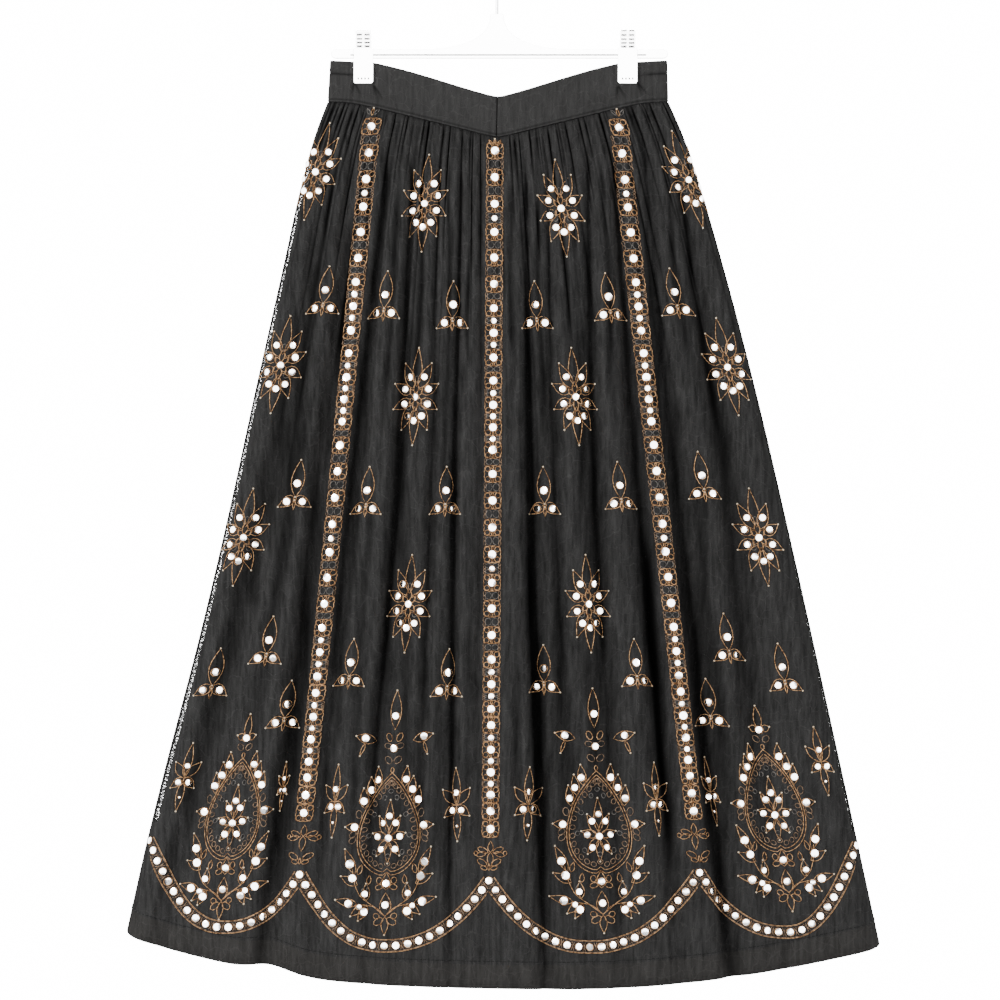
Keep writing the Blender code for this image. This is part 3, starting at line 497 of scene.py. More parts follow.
def crinkled_cloth(name, dark, light, crease_shading, depth, roughness, sheer=False):
    """Cloth coloured between `dark` and `light` by the crinkle group's tone, with its painted light and shade
    on the creases, darkened by painted shade in the folds, gathers' valleys and creases, and bumped by its
    height.
    If `sheer`, its mesh lets light through in specks."""
    material, tree, shader = shaded(name)
    place = add_node(tree, "ShaderNodeUVMap", {}, uv_map="cloth").outputs["UV"]
    inputs = {"Vector": place, "Crease Shading": crease_shading}
    crinkle = add_node(tree, "ShaderNodeGroup", inputs, node_tree=CRINKLE)
    # Painted shade: each point's attribute darkens the tone in folds, gathers' valleys and creases
    painted_shade = add_node(tree, "ShaderNodeAttribute", {}, attribute_name="painted_shade")
    tone = colour_mix(tree, crinkle.outputs["Tone"], dark, light)
    shadow = colour_mix(tree, painted_shade.outputs["Fac"], tone, [PAINTED_SHADE_TONE * c for c in dark])
    tree.links.new(shadow, shader.inputs["Base Color"])
    add_bump(tree, shader, crinkle.outputs["Height"], depth)
    shader.inputs["Roughness"].default_value = roughness
    shader.inputs["Specular IOR Level"].default_value = 0.0
    if sheer:
        holes = {"Scale": SHEER_GRAIN, "Vector": place}
        holes = add_node(tree, "ShaderNodeTexNoise", holes, noise_dimensions="2D")
        cover = {"From Min": 0.46, "From Max": 0.55, "To Min": 0.10, "To Max": 1.0}
        cover = add_node(tree, "ShaderNodeMapRange", {**cover, "Value": holes.outputs["Fac"]})
        tree.links.new(cover.outputs["Result"], shader.inputs["Alpha"])
    return material


CRINKLE = fine_crinkle("fine_crinkle")
mesh_cloth = crinkled_cloth("mesh_cloth", (0.007, 0.0069, 0.0068), (0.070, 0.0690, 0.0681), 0.9, 0.0014, 0.85)
sheer_cloth = crinkled_cloth(
    "sheer_cloth", (0.010, 0.0099, 0.0098), (0.070, 0.0688, 0.0678), 1.0, 0.0012, 0.85, sheer=True
)
hem_cloth = crinkled_cloth("hem_cloth", (0.015, 0.0144, 0.0138), (0.069, 0.0664, 0.0640), 0.8, 0.0009, 0.85)


def thin_shell(piece):
    """Gives a sheet of points the cloth's thickness, on its inner side."""
    shell = piece.modifiers.new("cloth thickness", "SOLIDIFY")
    shell.thickness = CLOTH_THICK
    shell.offset = -1.0


def cloth_panel(name, face, first, last, shift, node):
    """One panel as a thin shell: rows run from the waist seam to the hem, closer together near the top, and
    its columns crowd into the gathers' hollows by a sine of each gather. Its cloth coordinates are metres
    along the ring and down the cloth."""
    gather = np.linspace(0.0, GATHERS, CLOTH_COLUMNS)[first : last + 1]
    across = 2.0 * (gather + COLUMN_CROWDING * np.sin(2 * np.pi * gather)) / GATHERS - 1.0
    t = np.linspace(0.0, 1.0, CLOTH_ROWS)
    level = t * (1.0 - ROW_CROWDING + ROW_CROWDING * t)
    across, level = np.meshgrid(across, level)
    points = skirt_surface(across, level, face)
    points[..., 0] += shift
    left, right = skirt_ring(level)[:2]
    seam, hem = seam_and_hem(across)
    uv = np.stack([0.5 * (left + right) * across + 1.5 * (face < 0), (seam - hem) * level], axis=-1)
    faces = grid_faces(*level.shape)
    piece = add_mesh(name, points, faces if face > 0 else faces[:, ::-1], uv)
    dress(piece, "embroidered_mesh", mesh_cloth, hem_cloth, sheer_cloth)
    above_hem = ((seam - hem) * (1.0 - level)).ravel()
    turned_up = above_hem[faces].mean(axis=1) < HEM_TURN_UP
    face_across = across.ravel()[faces].mean(axis=1)
    face_level = level.ravel()[faces].mean(axis=1)
    past_lining = np.abs(face_across) > np.where(face_across < 0, SHEER_LEFT, SHEER_RIGHT)
    past_lining &= np.abs(face_across) < SEAM_ACROSS
    past_lining &= (face_level > SHEER_LEVELS[0]) & (face_level < SHEER_LEVELS[1])
    kinds = np.where(past_lining, 2, turned_up).astype(np.int32)
    piece.data.polygons.foreach_set("material_index", kinds)
    # Painted shade: each point's darkening in the folds, gathers' valleys and creases
    painted_shade = piece.data.attributes.new("painted_shade", "FLOAT", "POINT")
    painted_shade.data.foreach_set("value", painted_shade_of(across, level, face).astype(np.float32).ravel())
    thin_shell(piece)
    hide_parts(node)
    return piece


MIDDLE = CLOTH_COLUMNS // 2
front_cloth = cloth_panel("front_cloth", 1, 0, CLOTH_COLUMNS - 1, 0.0, "skirt_front")
back_left_cloth = cloth_panel("back_left_cloth", -1, 0, MIDDLE, -0.5 * SEAM_GAP, "skirt_back_left")
back_right_cloth = cloth_panel(
    "back_right_cloth", -1, MIDDLE, CLOTH_COLUMNS - 1, 0.5 * SEAM_GAP, "skirt_back_right"
)


# The seam allowances of the two side seams and of the centre-back seam: narrow strips of the same cloth that
# lie inside along each seam, a millimetre behind the panels' edges, and close it to the eye.
STRIP_HALF, STRIP_INSET, STRIP_ROWS, STRIP_LEVELS = 0.0013, 0.0011, 96, (0.004, 0.997)


def seam_strip(across, inward, along):
    """A strip's rows of two points: the middle of the panels' meeting edges at each level, moved inward, and
    then half the strip's width to each side."""
    level = np.linspace(*STRIP_LEVELS, STRIP_ROWS)[:, None]
    faces_met = (1.0, -1.0) if abs(across) == 1.0 else (-1.0,)
    edges = [skirt_surface(np.full_like(level, across), level, face) for face in faces_met]
    middle = sum(edges) / len(edges) + STRIP_INSET * np.array(inward)
    return middle + STRIP_HALF * np.array([[-1.0], [1.0]]) * np.array(along)


strips = [
    seam_strip(-1.0, (1.0, 0.0, 0.0), (0.0, 1.0, 0.0)),
    seam_strip(1.0, (-1.0, 0.0, 0.0), (0.0, 1.0, 0.0)),
    seam_strip(0.0, (0.0, -1.0, 0.0), (1.0, 0.0, 0.0)),
]
strip_points = np.concatenate([strip.reshape(-1, 3) for strip in strips])
strip_faces = np.concatenate([grid_faces(STRIP_ROWS, 2) + 2 * STRIP_ROWS * k for k in range(len(strips))])
seam_strips = add_mesh("seam_strips", strip_points, strip_faces, strip_points[:, 1:])
dress(seam_strips, "embroidered_mesh", hem_cloth)
thin_shell(seam_strips)


# The lining: a smooth black underskirt sewn into the waist seam. It is narrower than the mesh, so the light
# shows through the mesh past its edges. The solids have its true form, and it gets its satin finish here.
def toned(
    name, dark, light, grain, roughness, metallic=0.0, bump_depth=0.0, detail=2.0, span=None, specular=0.5
):
    """A material whose tone goes from one colour to the other in fine noise of the scale `grain`, over a bump
    of the same noise. `span` is the part of the noise's range that the two tones cover, else all of it."""
    material, tree, shader = shaded(name)
    place = tree.nodes.new("ShaderNodeTexCoord").outputs["Object"]
    noise = {"Scale": grain, "Detail": detail, "Vector": place}
    noise = add_node(tree, "ShaderNodeTexNoise", noise).outputs["Fac"]
    share = noise
    if span:
        share = {"From Min": span[0], "From Max": span[1], "Value": noise}
        share = add_node(tree, "ShaderNodeMapRange", share).outputs["Result"]
    tree.links.new(colour_mix(tree, share, dark, light), shader.inputs["Base Color"])
    if bump_depth:
        add_bump(tree, shader, noise, bump_depth)
    shader.inputs["Roughness"].default_value = roughness
    shader.inputs["Metallic"].default_value = metallic
    shader.inputs["Specular IOR Level"].default_value = specular
    return material


def repaint(node_name, material):
    """Gives a node of the frame one of these materials instead of its own."""
    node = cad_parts[node_name]
    node.data.materials.clear()
    node.data.materials.append(material)
    return node


black_lining = toned("black_lining", (0.008, 0.008, 0.009), (0.017, 0.017, 0.018), 900.0, 0.5)
lining_pieces = [repaint(name, black_lining) for name in ("lining_front", "lining_back")]


# The waistband: fused double cloth in four pieces, seamed at the point of the V in front, at both sides and
# at the centre back. Its edges are rounded over, a welt runs above its seam, and the clips crease it.
BAND_LEFT_TOP, BAND_RIGHT_TOP, BAND_END_RADIUS = 0.1700, 0.1675, 0.0030
BAND_BOW, BAND_BOW_HALF, BAND_FLARE_START, BAND_THICK = 0.0060, 0.118, 0.56, 0.0024
BAND_ROWS, BAND_COLUMNS, BAND_CROWDING, CENTRE_SHARPNESS = 64, 130, 0.35, 6.0
DEEP_BAND_CREASE, BAND_SHADE = 0.0006, 0.85
# How far in millimetres the band's top edge bows up at the point and more along the slopes, and less again
LIFT_AT_POINT, LIFT_MORE, LIFT_LESS = 0.8, 4.7, 3.9
LIFT_RISE, LIFT_FALL_START, LIFT_FALL = 0.105, 0.118, 0.035
WELT_ABOVE_SEAM = 0.0028
WELT_DEPTH, WELT_WIDTH = 0.0005, 0.0006
CLIP_X = (-0.1365, 0.1275)
CLIP_HALF = 0.0095
# The pinched line outside each clip and the drag lines below it: their depths, widths and distances down
PINCH_DEPTH, PINCH_WIDTH, PINCH_DOWN = 0.00022, 0.0012, 0.0125
DRAG_DEPTH, DRAG_WIDTH, DRAG_DOWN = 0.00045, 0.0013, 0.0185
DRAG_LINES = ((-1, -0.55), (-1, 0.15), (1, 0.35), (1, 0.8))


def band_surface(place, share, face, side):
    """The middle surface of half a waistband and its outward direction, from the side seam to the centre
    seam (`place`) and from its top edge to the waist seam (`share`): the flattened ring of the skirt's top,
    pinched at the clips, bowed open between them by a squared cosine, and flared to the gathers."""
    row = SKIRT_SECTIONS[0]
    left = BAND_LEFT_TOP + (row.left - BAND_LEFT_TOP) * share
    right = BAND_RIGHT_TOP + (row.right - BAND_RIGHT_TOP) * share
    flare = smooth_step((share - BAND_FLARE_START) / (1.0 - BAND_FLARE_START))
    end_radius = BAND_END_RADIUS + (row.end_radius - BAND_END_RADIUS) * flare
    across = place / (row.left if side < 0 else row.right)
    x, y, out_x, out_y = half_ring(across, left, right, end_radius, row.bow * flare)
    opened = np.cos(0.5 * np.pi * np.clip(x / BAND_BOW_HALF, -1.0, 1.0)) ** 2
    y = y - BAND_BOW * opened * (1.0 - flare)
    return x, y, out_x, out_y


def band_lift(x):
    """How far the band's top edge bows up above its straight slopes: most halfway up each slope."""
    away = np.abs(x - POINT_X)
    more = LIFT_MORE * smooth_step(away / LIFT_RISE)
    return MM * (LIFT_AT_POINT + more - LIFT_LESS * smooth_step((away - LIFT_FALL_START) / LIFT_FALL))


def band_crease(x, share):
    """Soft troughs in the band: the welt above its seam, a pinched line below its top edge outside each
    clip, and drag lines that fan out from each clip's lower corners."""
    down = BAND_HEIGHT * share
    depth = WELT_DEPTH * np.exp(-(((BAND_HEIGHT - down - WELT_ABOVE_SEAM) / WELT_WIDTH) ** 2))
    for middle in CLIP_X:
        outside = smooth_step((np.abs(x) - abs(middle) - CLIP_HALF) / 0.004)
        depth = depth + PINCH_DEPTH * outside * np.exp(-(((down - PINCH_DOWN) / PINCH_WIDTH) ** 2))
        for corner, lean in DRAG_LINES:
            start_x = middle + corner * CLIP_HALF
            below = down - DRAG_DOWN
            line = start_x + lean * below * corner
            fade = smooth_step(below / 0.003) * smooth_step((0.016 - below) / 0.012)
            depth = depth + DRAG_DEPTH * fade * np.exp(-(((x - line) / DRAG_WIDTH) ** 2))
    return depth


def band_piece(name, face, side, node):
    """Half a waistband as a closed slab: an outer and an inner face on either side of the middle surface,
    whose distance falls off as a quarter circle at the top edge, at the waist seam and at both ends."""
    end = -SKIRT_SECTIONS[0].left if side < 0 else SKIRT_SECTIONS[0].right
    ease = 0.5 - 0.5 * np.cos(np.linspace(0.0, np.pi, BAND_COLUMNS))
    spread = BAND_CROWDING * ease + (1.0 - BAND_CROWDING) * np.linspace(0.0, 1.0, BAND_COLUMNS)
    place = end + (POINT_X + side * 0.5 * SEAM_GAP - end) * spread
    rim = 0.5 - 0.5 * np.cos(np.linspace(0.0, np.pi, BAND_ROWS // 2))
    share = 0.5 * rim + 0.5 * np.linspace(0.0, 1.0, BAND_ROWS // 2)
    place, share = np.meshgrid(place, share)
    x, y, out_x, out_y = band_surface(place, share, face, side)
    x[:, -1] = POINT_X + side * 0.5 * SEAM_GAP
    half = 0.5 * BAND_THICK
    edge = np.minimum(BAND_HEIGHT * share, BAND_HEIGHT * (1.0 - share))
    centre = CENTRE_SHARPNESS * np.abs(place - place[0, -1])
    edge = np.minimum(edge, np.minimum(np.abs(place - end), centre))
    round_over = np.clip(edge / half, 0.0, 1.0)
    thick = half * np.sqrt(1.0 - (1.0 - round_over) ** 2)
    outer = thick - band_crease(x, share) * round_over
    z = -BAND_TOP - BAND_HEIGHT * share - point_drop(x) + band_lift(x) * (1.0 - share)
    sides = []
    for push in (outer - half, -thick - half):
        sides.append(np.stack([x + out_x * push, face * (y + out_y * push - 0.5 * SEAM_GAP), z], axis=-1))
    points = np.concatenate([sides[0], sides[1][::-1]])
    uv = np.stack([x + 3.0, z], axis=-1)
    uv = np.concatenate([uv, uv[::-1]])
    rows = len(points)
    faces = grid_faces(rows, BAND_COLUMNS)
    closing = np.arange(BAND_COLUMNS - 1)
    last = (rows - 1) * BAND_COLUMNS
    strip = np.stack([last + closing, closing, closing + 1, last + closing + 1], axis=-1)
    faces = np.concatenate([faces, strip])
    piece = add_mesh(name, points, faces if face * side < 0 else faces[:, ::-1], uv)
    dress(piece, "waistband_cloth", band_cloth)
    # Painted shade: the band's colour darkens in its welt, its pinched lines and its drag lines
    painted_shade = np.clip(band_crease(x, share) / DEEP_BAND_CREASE, 0.0, BAND_SHADE)
    painted_shade = np.concatenate([painted_shade, np.zeros_like(painted_shade)]).astype(np.float32)
    piece.data.attributes.new("painted_shade", "FLOAT", "POINT").data.foreach_set("value", painted_shade.ravel())
    weld = piece.modifiers.new("closed rims", "WELD")
    weld.merge_threshold = 0.00001
    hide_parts(node)
    return piece


band_cloth = crinkled_cloth("band_cloth", (0.018, 0.0177, 0.0174), (0.078, 0.0767, 0.0755), 0.6, 0.0011, 0.85)
for face, face_name in ((1, "front"), (-1, "back")):
    for side, side_name in ((-1, "left"), (1, "right")):
        place_name = f"{face_name}_{side_name}"
        band_piece(f"band_{place_name}", face, side, f"waistband_{place_name}")


# The embroidery: copper and dark threads laid on the cloth, and small round mirrors sewn on among them.
# A motif is a few loops and lines in millimetres to the right of and below its middle. It is laid on the
# cloth's form at a place that is seen from the front, and again at the same place on the back.
THREAD_RADIUS, THREAD_RAISED, THREAD_SIDES = 0.00040, 0.00035, 3
RING_RADIUS, KNOT_RADIUS = 0.00045, 0.0010
MIRROR_SIDES, MIRROR_RAISED, MIRROR_TILT = 12, 0.0010, 0.09
# Rings of a mirror's profile from its back to its face: share of its radius, and height
MIRROR_PROFILE = ((0.0, -0.9), (0.9, -0.9), (1.0, -0.2), (0.94, 0.25), (0.5, 0.45), (0.0, 0.5))
KNOT_PROFILE = ((0.0, -0.6), (1.0, -0.2), (0.8, 0.4), (0.0, 0.8))
KNOT_SIDES = 6
LEAF_STEPS, LOOP_STEPS, RING_STEPS = 6, 8, 12
# The share of mirrors that get a painted dark reflection, a grey crescent
SHADED_MIRRORS = 0.28
# How far to each side the cloth is felt for a thread's and for a mirror's direction outwards
THREAD_REACH, MIRROR_REACH = 0.0012, 0.0055

random = np.random.default_rng(11)


def half_length(level):
    """The length of the ring from its middle to a side seam."""
    left, right, end_radius, _ = skirt_ring(level)
    return 0.5 * (left + right) - end_radius + 0.5 * np.pi * end_radius


def level_at(across, height):
    """How far from the waist seam, 0, to the hem, 1, a point at this height lies."""
    seam, hem = seam_and_hem(across)
    return np.clip((seam - height) / (seam - hem), 0.0, 1.0)


def across_at(x, height):
    """Where across the skirt a point lies that is seen at x and height: half_ring's x, turned round."""
    across = x / 0.4
    for _ in range(4):
        left, right, end_radius, _ = skirt_ring(level_at(across, height))
        straight = 0.5 * (left + right) - end_radius
        share = straight / (straight + 0.5 * np.pi * end_radius)
        offset = x - 0.5 * (right - left)
        beyond = np.clip((np.abs(offset) - straight) / end_radius, 0.0, 1.0)
        turned = share + (1.0 - share) * np.arcsin(beyond) / (0.5 * np.pi)
        across = np.where(beyond > 0.0, np.sign(offset) * turned, offset / straight * share)
    return across


def on_cloth(x, height, side, down, face):
    """The place, as across, level and face, of a stitch `side` metres along the ring from a point that is
    seen at x and height, and `down` metres below it. Past a side seam it lies on the other face."""
    anchor = across_at(x, height)
    lower = height - down
    across = anchor
    for _ in range(3):
        across = anchor + side / half_length(level_at(across, lower))
    past = np.abs(across) > 1.0
    across = np.where(past, np.sign(across) * 2.0 - across, across)
    return across, level_at(across, lower), np.where(past, -face, face)


def cloth_frame(across, level, face, reach):
    """Points of the cloth with the directions along the ring and outwards, from the differences between
    points `reach` metres to each side and below and above."""
    step = reach / half_length(level)
    drop = reach / (HEM_CENTRE - BAND_TOP - BAND_HEIGHT)
    low, high = np.clip(level + drop, 0.0, 1.0), np.clip(level - drop, 0.0, 1.0)
    along = skirt_surface(across + step, level, face) - skirt_surface(across - step, level, face)
    fall = skirt_surface(across, low, face) - skirt_surface(across, high, face)
    outward = np.cross(fall, along) * face[..., None]
    outward /= np.linalg.norm(outward, axis=-1, keepdims=True)
    along /= np.linalg.norm(along, axis=-1, keepdims=True)
    return skirt_surface(across, level, face), along, outward


def thread_tubes(paths, closed, radius):
    """Three-sided tubes along paths on the cloth, each a row of (x, height, side, down, face)."""
    points, _, outward = cloth_frame(*on_cloth(*np.moveaxis(paths, -1, 0)), THREAD_REACH)
    points = points + THREAD_RAISED * outward
    if closed:
        ahead = np.roll(points, -1, axis=1) - np.roll(points, 1, axis=1)
    else:
        ahead = np.gradient(points, axis=1)
    beside = np.cross(ahead, outward)
    beside /= np.linalg.norm(beside, axis=-1, keepdims=True) + 1e-12
    turn = 0.5 * np.pi + 2 * np.pi * np.arange(THREAD_SIDES) / THREAD_SIDES
    turn = turn[:, None]
    rings = np.cos(turn) * beside[:, :, None] + np.sin(turn) * outward[:, :, None]
    rings = points[:, :, None] + radius * rings
    count, steps = points.shape[:2]
    if closed:
        faces = grid_faces(steps + 1, THREAD_SIDES, wrap=True) % (steps * THREAD_SIDES)
    else:
        faces = grid_faces(steps, THREAD_SIDES, wrap=True)
    offsets = np.arange(count)[:, None, None] * steps * THREAD_SIDES
    quads = (faces[None] + offsets).reshape(-1, 4)
    cap = np.arange(THREAD_SIDES)
    last = (steps - 1) * THREAD_SIDES
    caps = np.stack([cap, last + cap[::-1]])
    caps = np.empty((0, 3), int) if closed else (caps[None] + offsets).reshape(-1, 3)
    return rings.reshape(-1, 3), quads, caps


def thread_piece(name, work, material, radius=THREAD_RADIUS):
    """One object of all the threads in `work`, a list of (path, closed)."""
    points, faces = [], []
    start = 0
    for key in sorted({(len(path), closed) for path, closed in work}):
        batch = np.stack([path for path, closed in work if (len(path), closed) == key])
        tube, quads, caps = thread_tubes(batch, key[1], radius)
        points.append(tube)
        faces += (quads + start).tolist() + (caps + start).tolist()
        start += len(tube)
    return dress(add_mesh(name, np.concatenate(points), faces), "thread", material)


def small_discs(places, radius, profile, sides, tilt, raised):
    """Round discs on the cloth, one for each row of (x, height, side, down, face), turned from `profile`'s
    rings and each tipped a little by chance. Gives the points, and the faces of one disc with its count."""
    centre, along, outward = cloth_frame(*on_cloth(*np.moveaxis(places, -1, 0)), MIRROR_REACH)
    tipped = outward + tilt * random.standard_normal(outward.shape)
    tipped /= np.linalg.norm(tipped, axis=-1, keepdims=True)
    beside = np.cross(tipped, along)
    beside /= np.linalg.norm(beside, axis=-1, keepdims=True)
    along = np.cross(beside, tipped)
    centre = centre + raised * outward
    turn = 2 * np.pi * np.arange(sides) / sides
    rows = []
    for share, height in profile:
        reach = radius * share
        ring = np.cos(turn)[:, None] * along[:, None] + np.sin(turn)[:, None] * beside[:, None]
        ring = centre[:, None] + reach[:, None, None] * ring + height * MM * tipped[:, None]
        rows.append(ring[:, :1] if share == 0.0 else ring)
    points = np.concatenate(rows, axis=1)
    rings = len(profile) - 2
    faces = []
    for k in range(sides):
        after = (k + 1) % sides
        faces.append((0, 1 + after, 1 + k))
        for ring in range(rings - 1):
            low, high = 1 + ring * sides, 1 + (ring + 1) * sides
            faces.append((low + k, low + after, high + after, high + k))
        top = 1 + (rings - 1) * sides
        faces.append((top + k, top + after, 1 + rings * sides))
    return points, faces


class Motif:
    """Threads, mirrors and knots in millimetres to the right of and below the motif's middle."""

    def __init__(self):
        self.copper, self.brown, self.dark, self.mirrors, self.knots = [], [], [], [], []

    def leaf(self, base, tip, half, belly=0.8, dark=False, knot=True):
        """A loop pointed at its tip: its half width is a sine of the way from base to tip."""
        base, tip = np.array(base, float), np.array(tip, float)
        t = np.linspace(0.0, 1.0, LEAF_STEPS + 1)
        length = np.linalg.norm(tip - base)
        beside = np.array([base[1] - tip[1], tip[0] - base[0]]) / length
        spread = half * np.sin(np.pi * t**belly)
        one_side = base + (tip - base) * t[:, None] + beside * spread[:, None]
        other = base + (tip - base) * t[:, None] - beside * spread[:, None]
        (self.dark if dark else self.copper).append((np.concatenate([one_side, other[-2:0:-1]]), True))
        if knot:
            self.knots.append(tuple(tip))

    def loop(self, centre, half_side, half_down, lean=0.0, dark=False, brown=False):
        """An ellipse, leaning `lean` degrees clockwise."""
        turn = 2 * np.pi * np.arange(LOOP_STEPS) / LOOP_STEPS
        side, down = half_side * np.cos(turn), half_down * np.sin(turn)
        cos, sin = np.cos(np.radians(lean)), np.sin(np.radians(lean))
        points = np.stack([centre[0] + cos * side - sin * down, centre[1] + sin * side + cos * down], axis=-1)
        (self.dark if dark else self.brown if brown else self.copper).append((points, True))

    def line(self, *points, dark=False):
        """An open line through a few points, bent smoothly."""
        knots = np.linspace(0.0, 1.0, len(points))
        at = np.linspace(0.0, 1.0, 2 * LEAF_STEPS)
        sides, downs = np.array(points, float).T
        path = np.stack([smooth_between(knots, sides, at), smooth_between(knots, downs, at)], axis=-1)
        (self.dark if dark else self.copper).append((path, False))

    def mirror(self, side, down, radius):
        """A round mirror with its ring of thread."""
        self.mirrors.append((side, down, radius))

    def draw_in(self, level, share):
        """Draws everything below a level up towards it, to a share of its distance."""
        def drawn(down):
            return np.where(down > level, level + share * (down - level), down)

        for threads in (self.copper, self.brown, self.dark):
            for points, _ in threads:
                points[:, 1] = drawn(points[:, 1])
        self.mirrors = [(side, float(drawn(down)), radius) for side, down, radius in self.mirrors]
        self.knots = [(side, float(drawn(down))) for side, down in self.knots]


WORK = {"copper": [], "brown": [], "dark": [], "column": [], "mirror": [], "knot": []}


def lay(motif, x, height, size=1.0, lean=0.0, thread="copper", narrow=1.0):
    """Lays a motif at x and height, in millimetres as seen from the front, on both faces, made `narrow`
    times as wide first where a fold takes in part of it."""
    cos, sin = np.cos(np.radians(lean)), np.sin(np.radians(lean))

    def turned(points):
        points = size * np.asarray(points, float).reshape(-1, 2) * (narrow, 1.0)
        return points @ np.array([[cos, sin], [-sin, cos]])

    for face in (1.0, -1.0):
        for kind, threads in ((thread, motif.copper), ("brown", motif.brown), ("dark", motif.dark)):
            for points, closed in threads:
                points = turned(points)
                path = np.empty((len(points), 5))
                path[:, 0:2] = (x * MM, height * MM)
                path[:, 2:4] = points * MM
                path[:, 4] = face
                WORK[kind].append((path, closed))
        for side, down, radius in motif.mirrors:
            side, down = turned((side, down))[0]
            WORK["mirror"].append((x * MM, height * MM, side * MM, down * MM, face, size * radius * MM))
        for knot in motif.knots:
            side, down = turned(knot)[0]
            WORK["knot"].append((x * MM, height * MM, side * MM, down * MM, face))


def star_motif():
    """A ten-petalled star, taller than wide, with a mirror in each petal but the top one. The petals' tips
    lie on an oval at every 36 degrees, and their mirrors on a smaller one."""
    star = Motif()
    for k in range(10):
        turn = np.radians(36.0 * k)
        tip = (22.5 * np.sin(turn), (-48.5 if k % 5 == 0 else -41.0) * np.cos(turn))
        root = (5.5 * np.sin(turn), -10.0 * np.cos(turn))
        star.leaf(root, tip, 5.2 if k % 5 else 4.8, belly=0.72)
        if k:
            star.mirror(12.3 * np.sin(turn), -24.0 * np.cos(turn), 3.3)
    star.mirror(0.0, 0.5, 3.4)
    for turn in np.radians((0, 60, 120, 180, 240, 300)):
        root, tip = (1.8 * np.sin(turn), -3.0 * np.cos(turn)), (7.5 * np.sin(turn), -15.0 * np.cos(turn))
        star.leaf(root, tip, 2.4, knot=False)
    star.loop((-7.0, 10.0), 2.6, 3.4, dark=True)
    star.loop((7.0, 10.0), 2.6, 3.4, dark=True)
    star.loop((0.0, -17.0), 2.2, 3.6, dark=True)
    return star


def trefoil_motif():
    """A pointed leaf over two curved side leaves, a mirror in each, with a knot and a small tail."""
    trefoil = Motif()
    trefoil.leaf((0, 14), (0, -23), 6.4, belly=0.9)
    trefoil.mirror(0, 0.5, 3.7)
    for sign in (-1, 1):
        trefoil.leaf((0, 14), (sign * 15.5, 24), 5.2, belly=0.7)
        trefoil.mirror(sign * 7.4, 18.6, 3.5)
    trefoil.leaf((0, 15), (0, 27), 1.3, knot=False)
    trefoil.loop((0, 15.5), 1.6, 1.8)
    trefoil.knots += [(0, 14.0), (0, 17.0)]
    return trefoil


def sprig_motif():
    """A slim six-petalled star with three mirrors."""
    sprig = Motif()
    sprig.leaf((0, 1), (0, -38), 4.0, belly=0.9)
    sprig.leaf((0, 1), (0, 36), 3.6, belly=0.9)
    for sign in (-1, 1):
        sprig.leaf((0, 0), (sign * 13, -17), 4.4, belly=1.0)
        sprig.leaf((0, 0), (sign * 12, 11), 4.6, belly=0.75)
        sprig.mirror(sign * 4.6, 4.8, 3.2)
    sprig.mirror(0, -13, 3.0)
    sprig.mirror(0, 21, 1.2)
    return sprig


def teardrop(scale):
    """Points of a teardrop that is notched at its foot: its half width is a sine of the turn from the tip
    times the sine of half that turn to the power 0.75."""
    turn = np.linspace(0.0, 2 * np.pi, 61)[:-1]
    side = 41.2 * np.sin(turn) * np.abs(np.sin(0.5 * turn)) ** 0.75
    down = 7.0 - 51.0 * np.cos(turn) - 4.0 * np.exp(-((side / 3.0) ** 2)) * (np.cos(turn) < 0)
    return np.stack([side * scale, 8.0 + (down - 8.0) * scale], axis=-1)


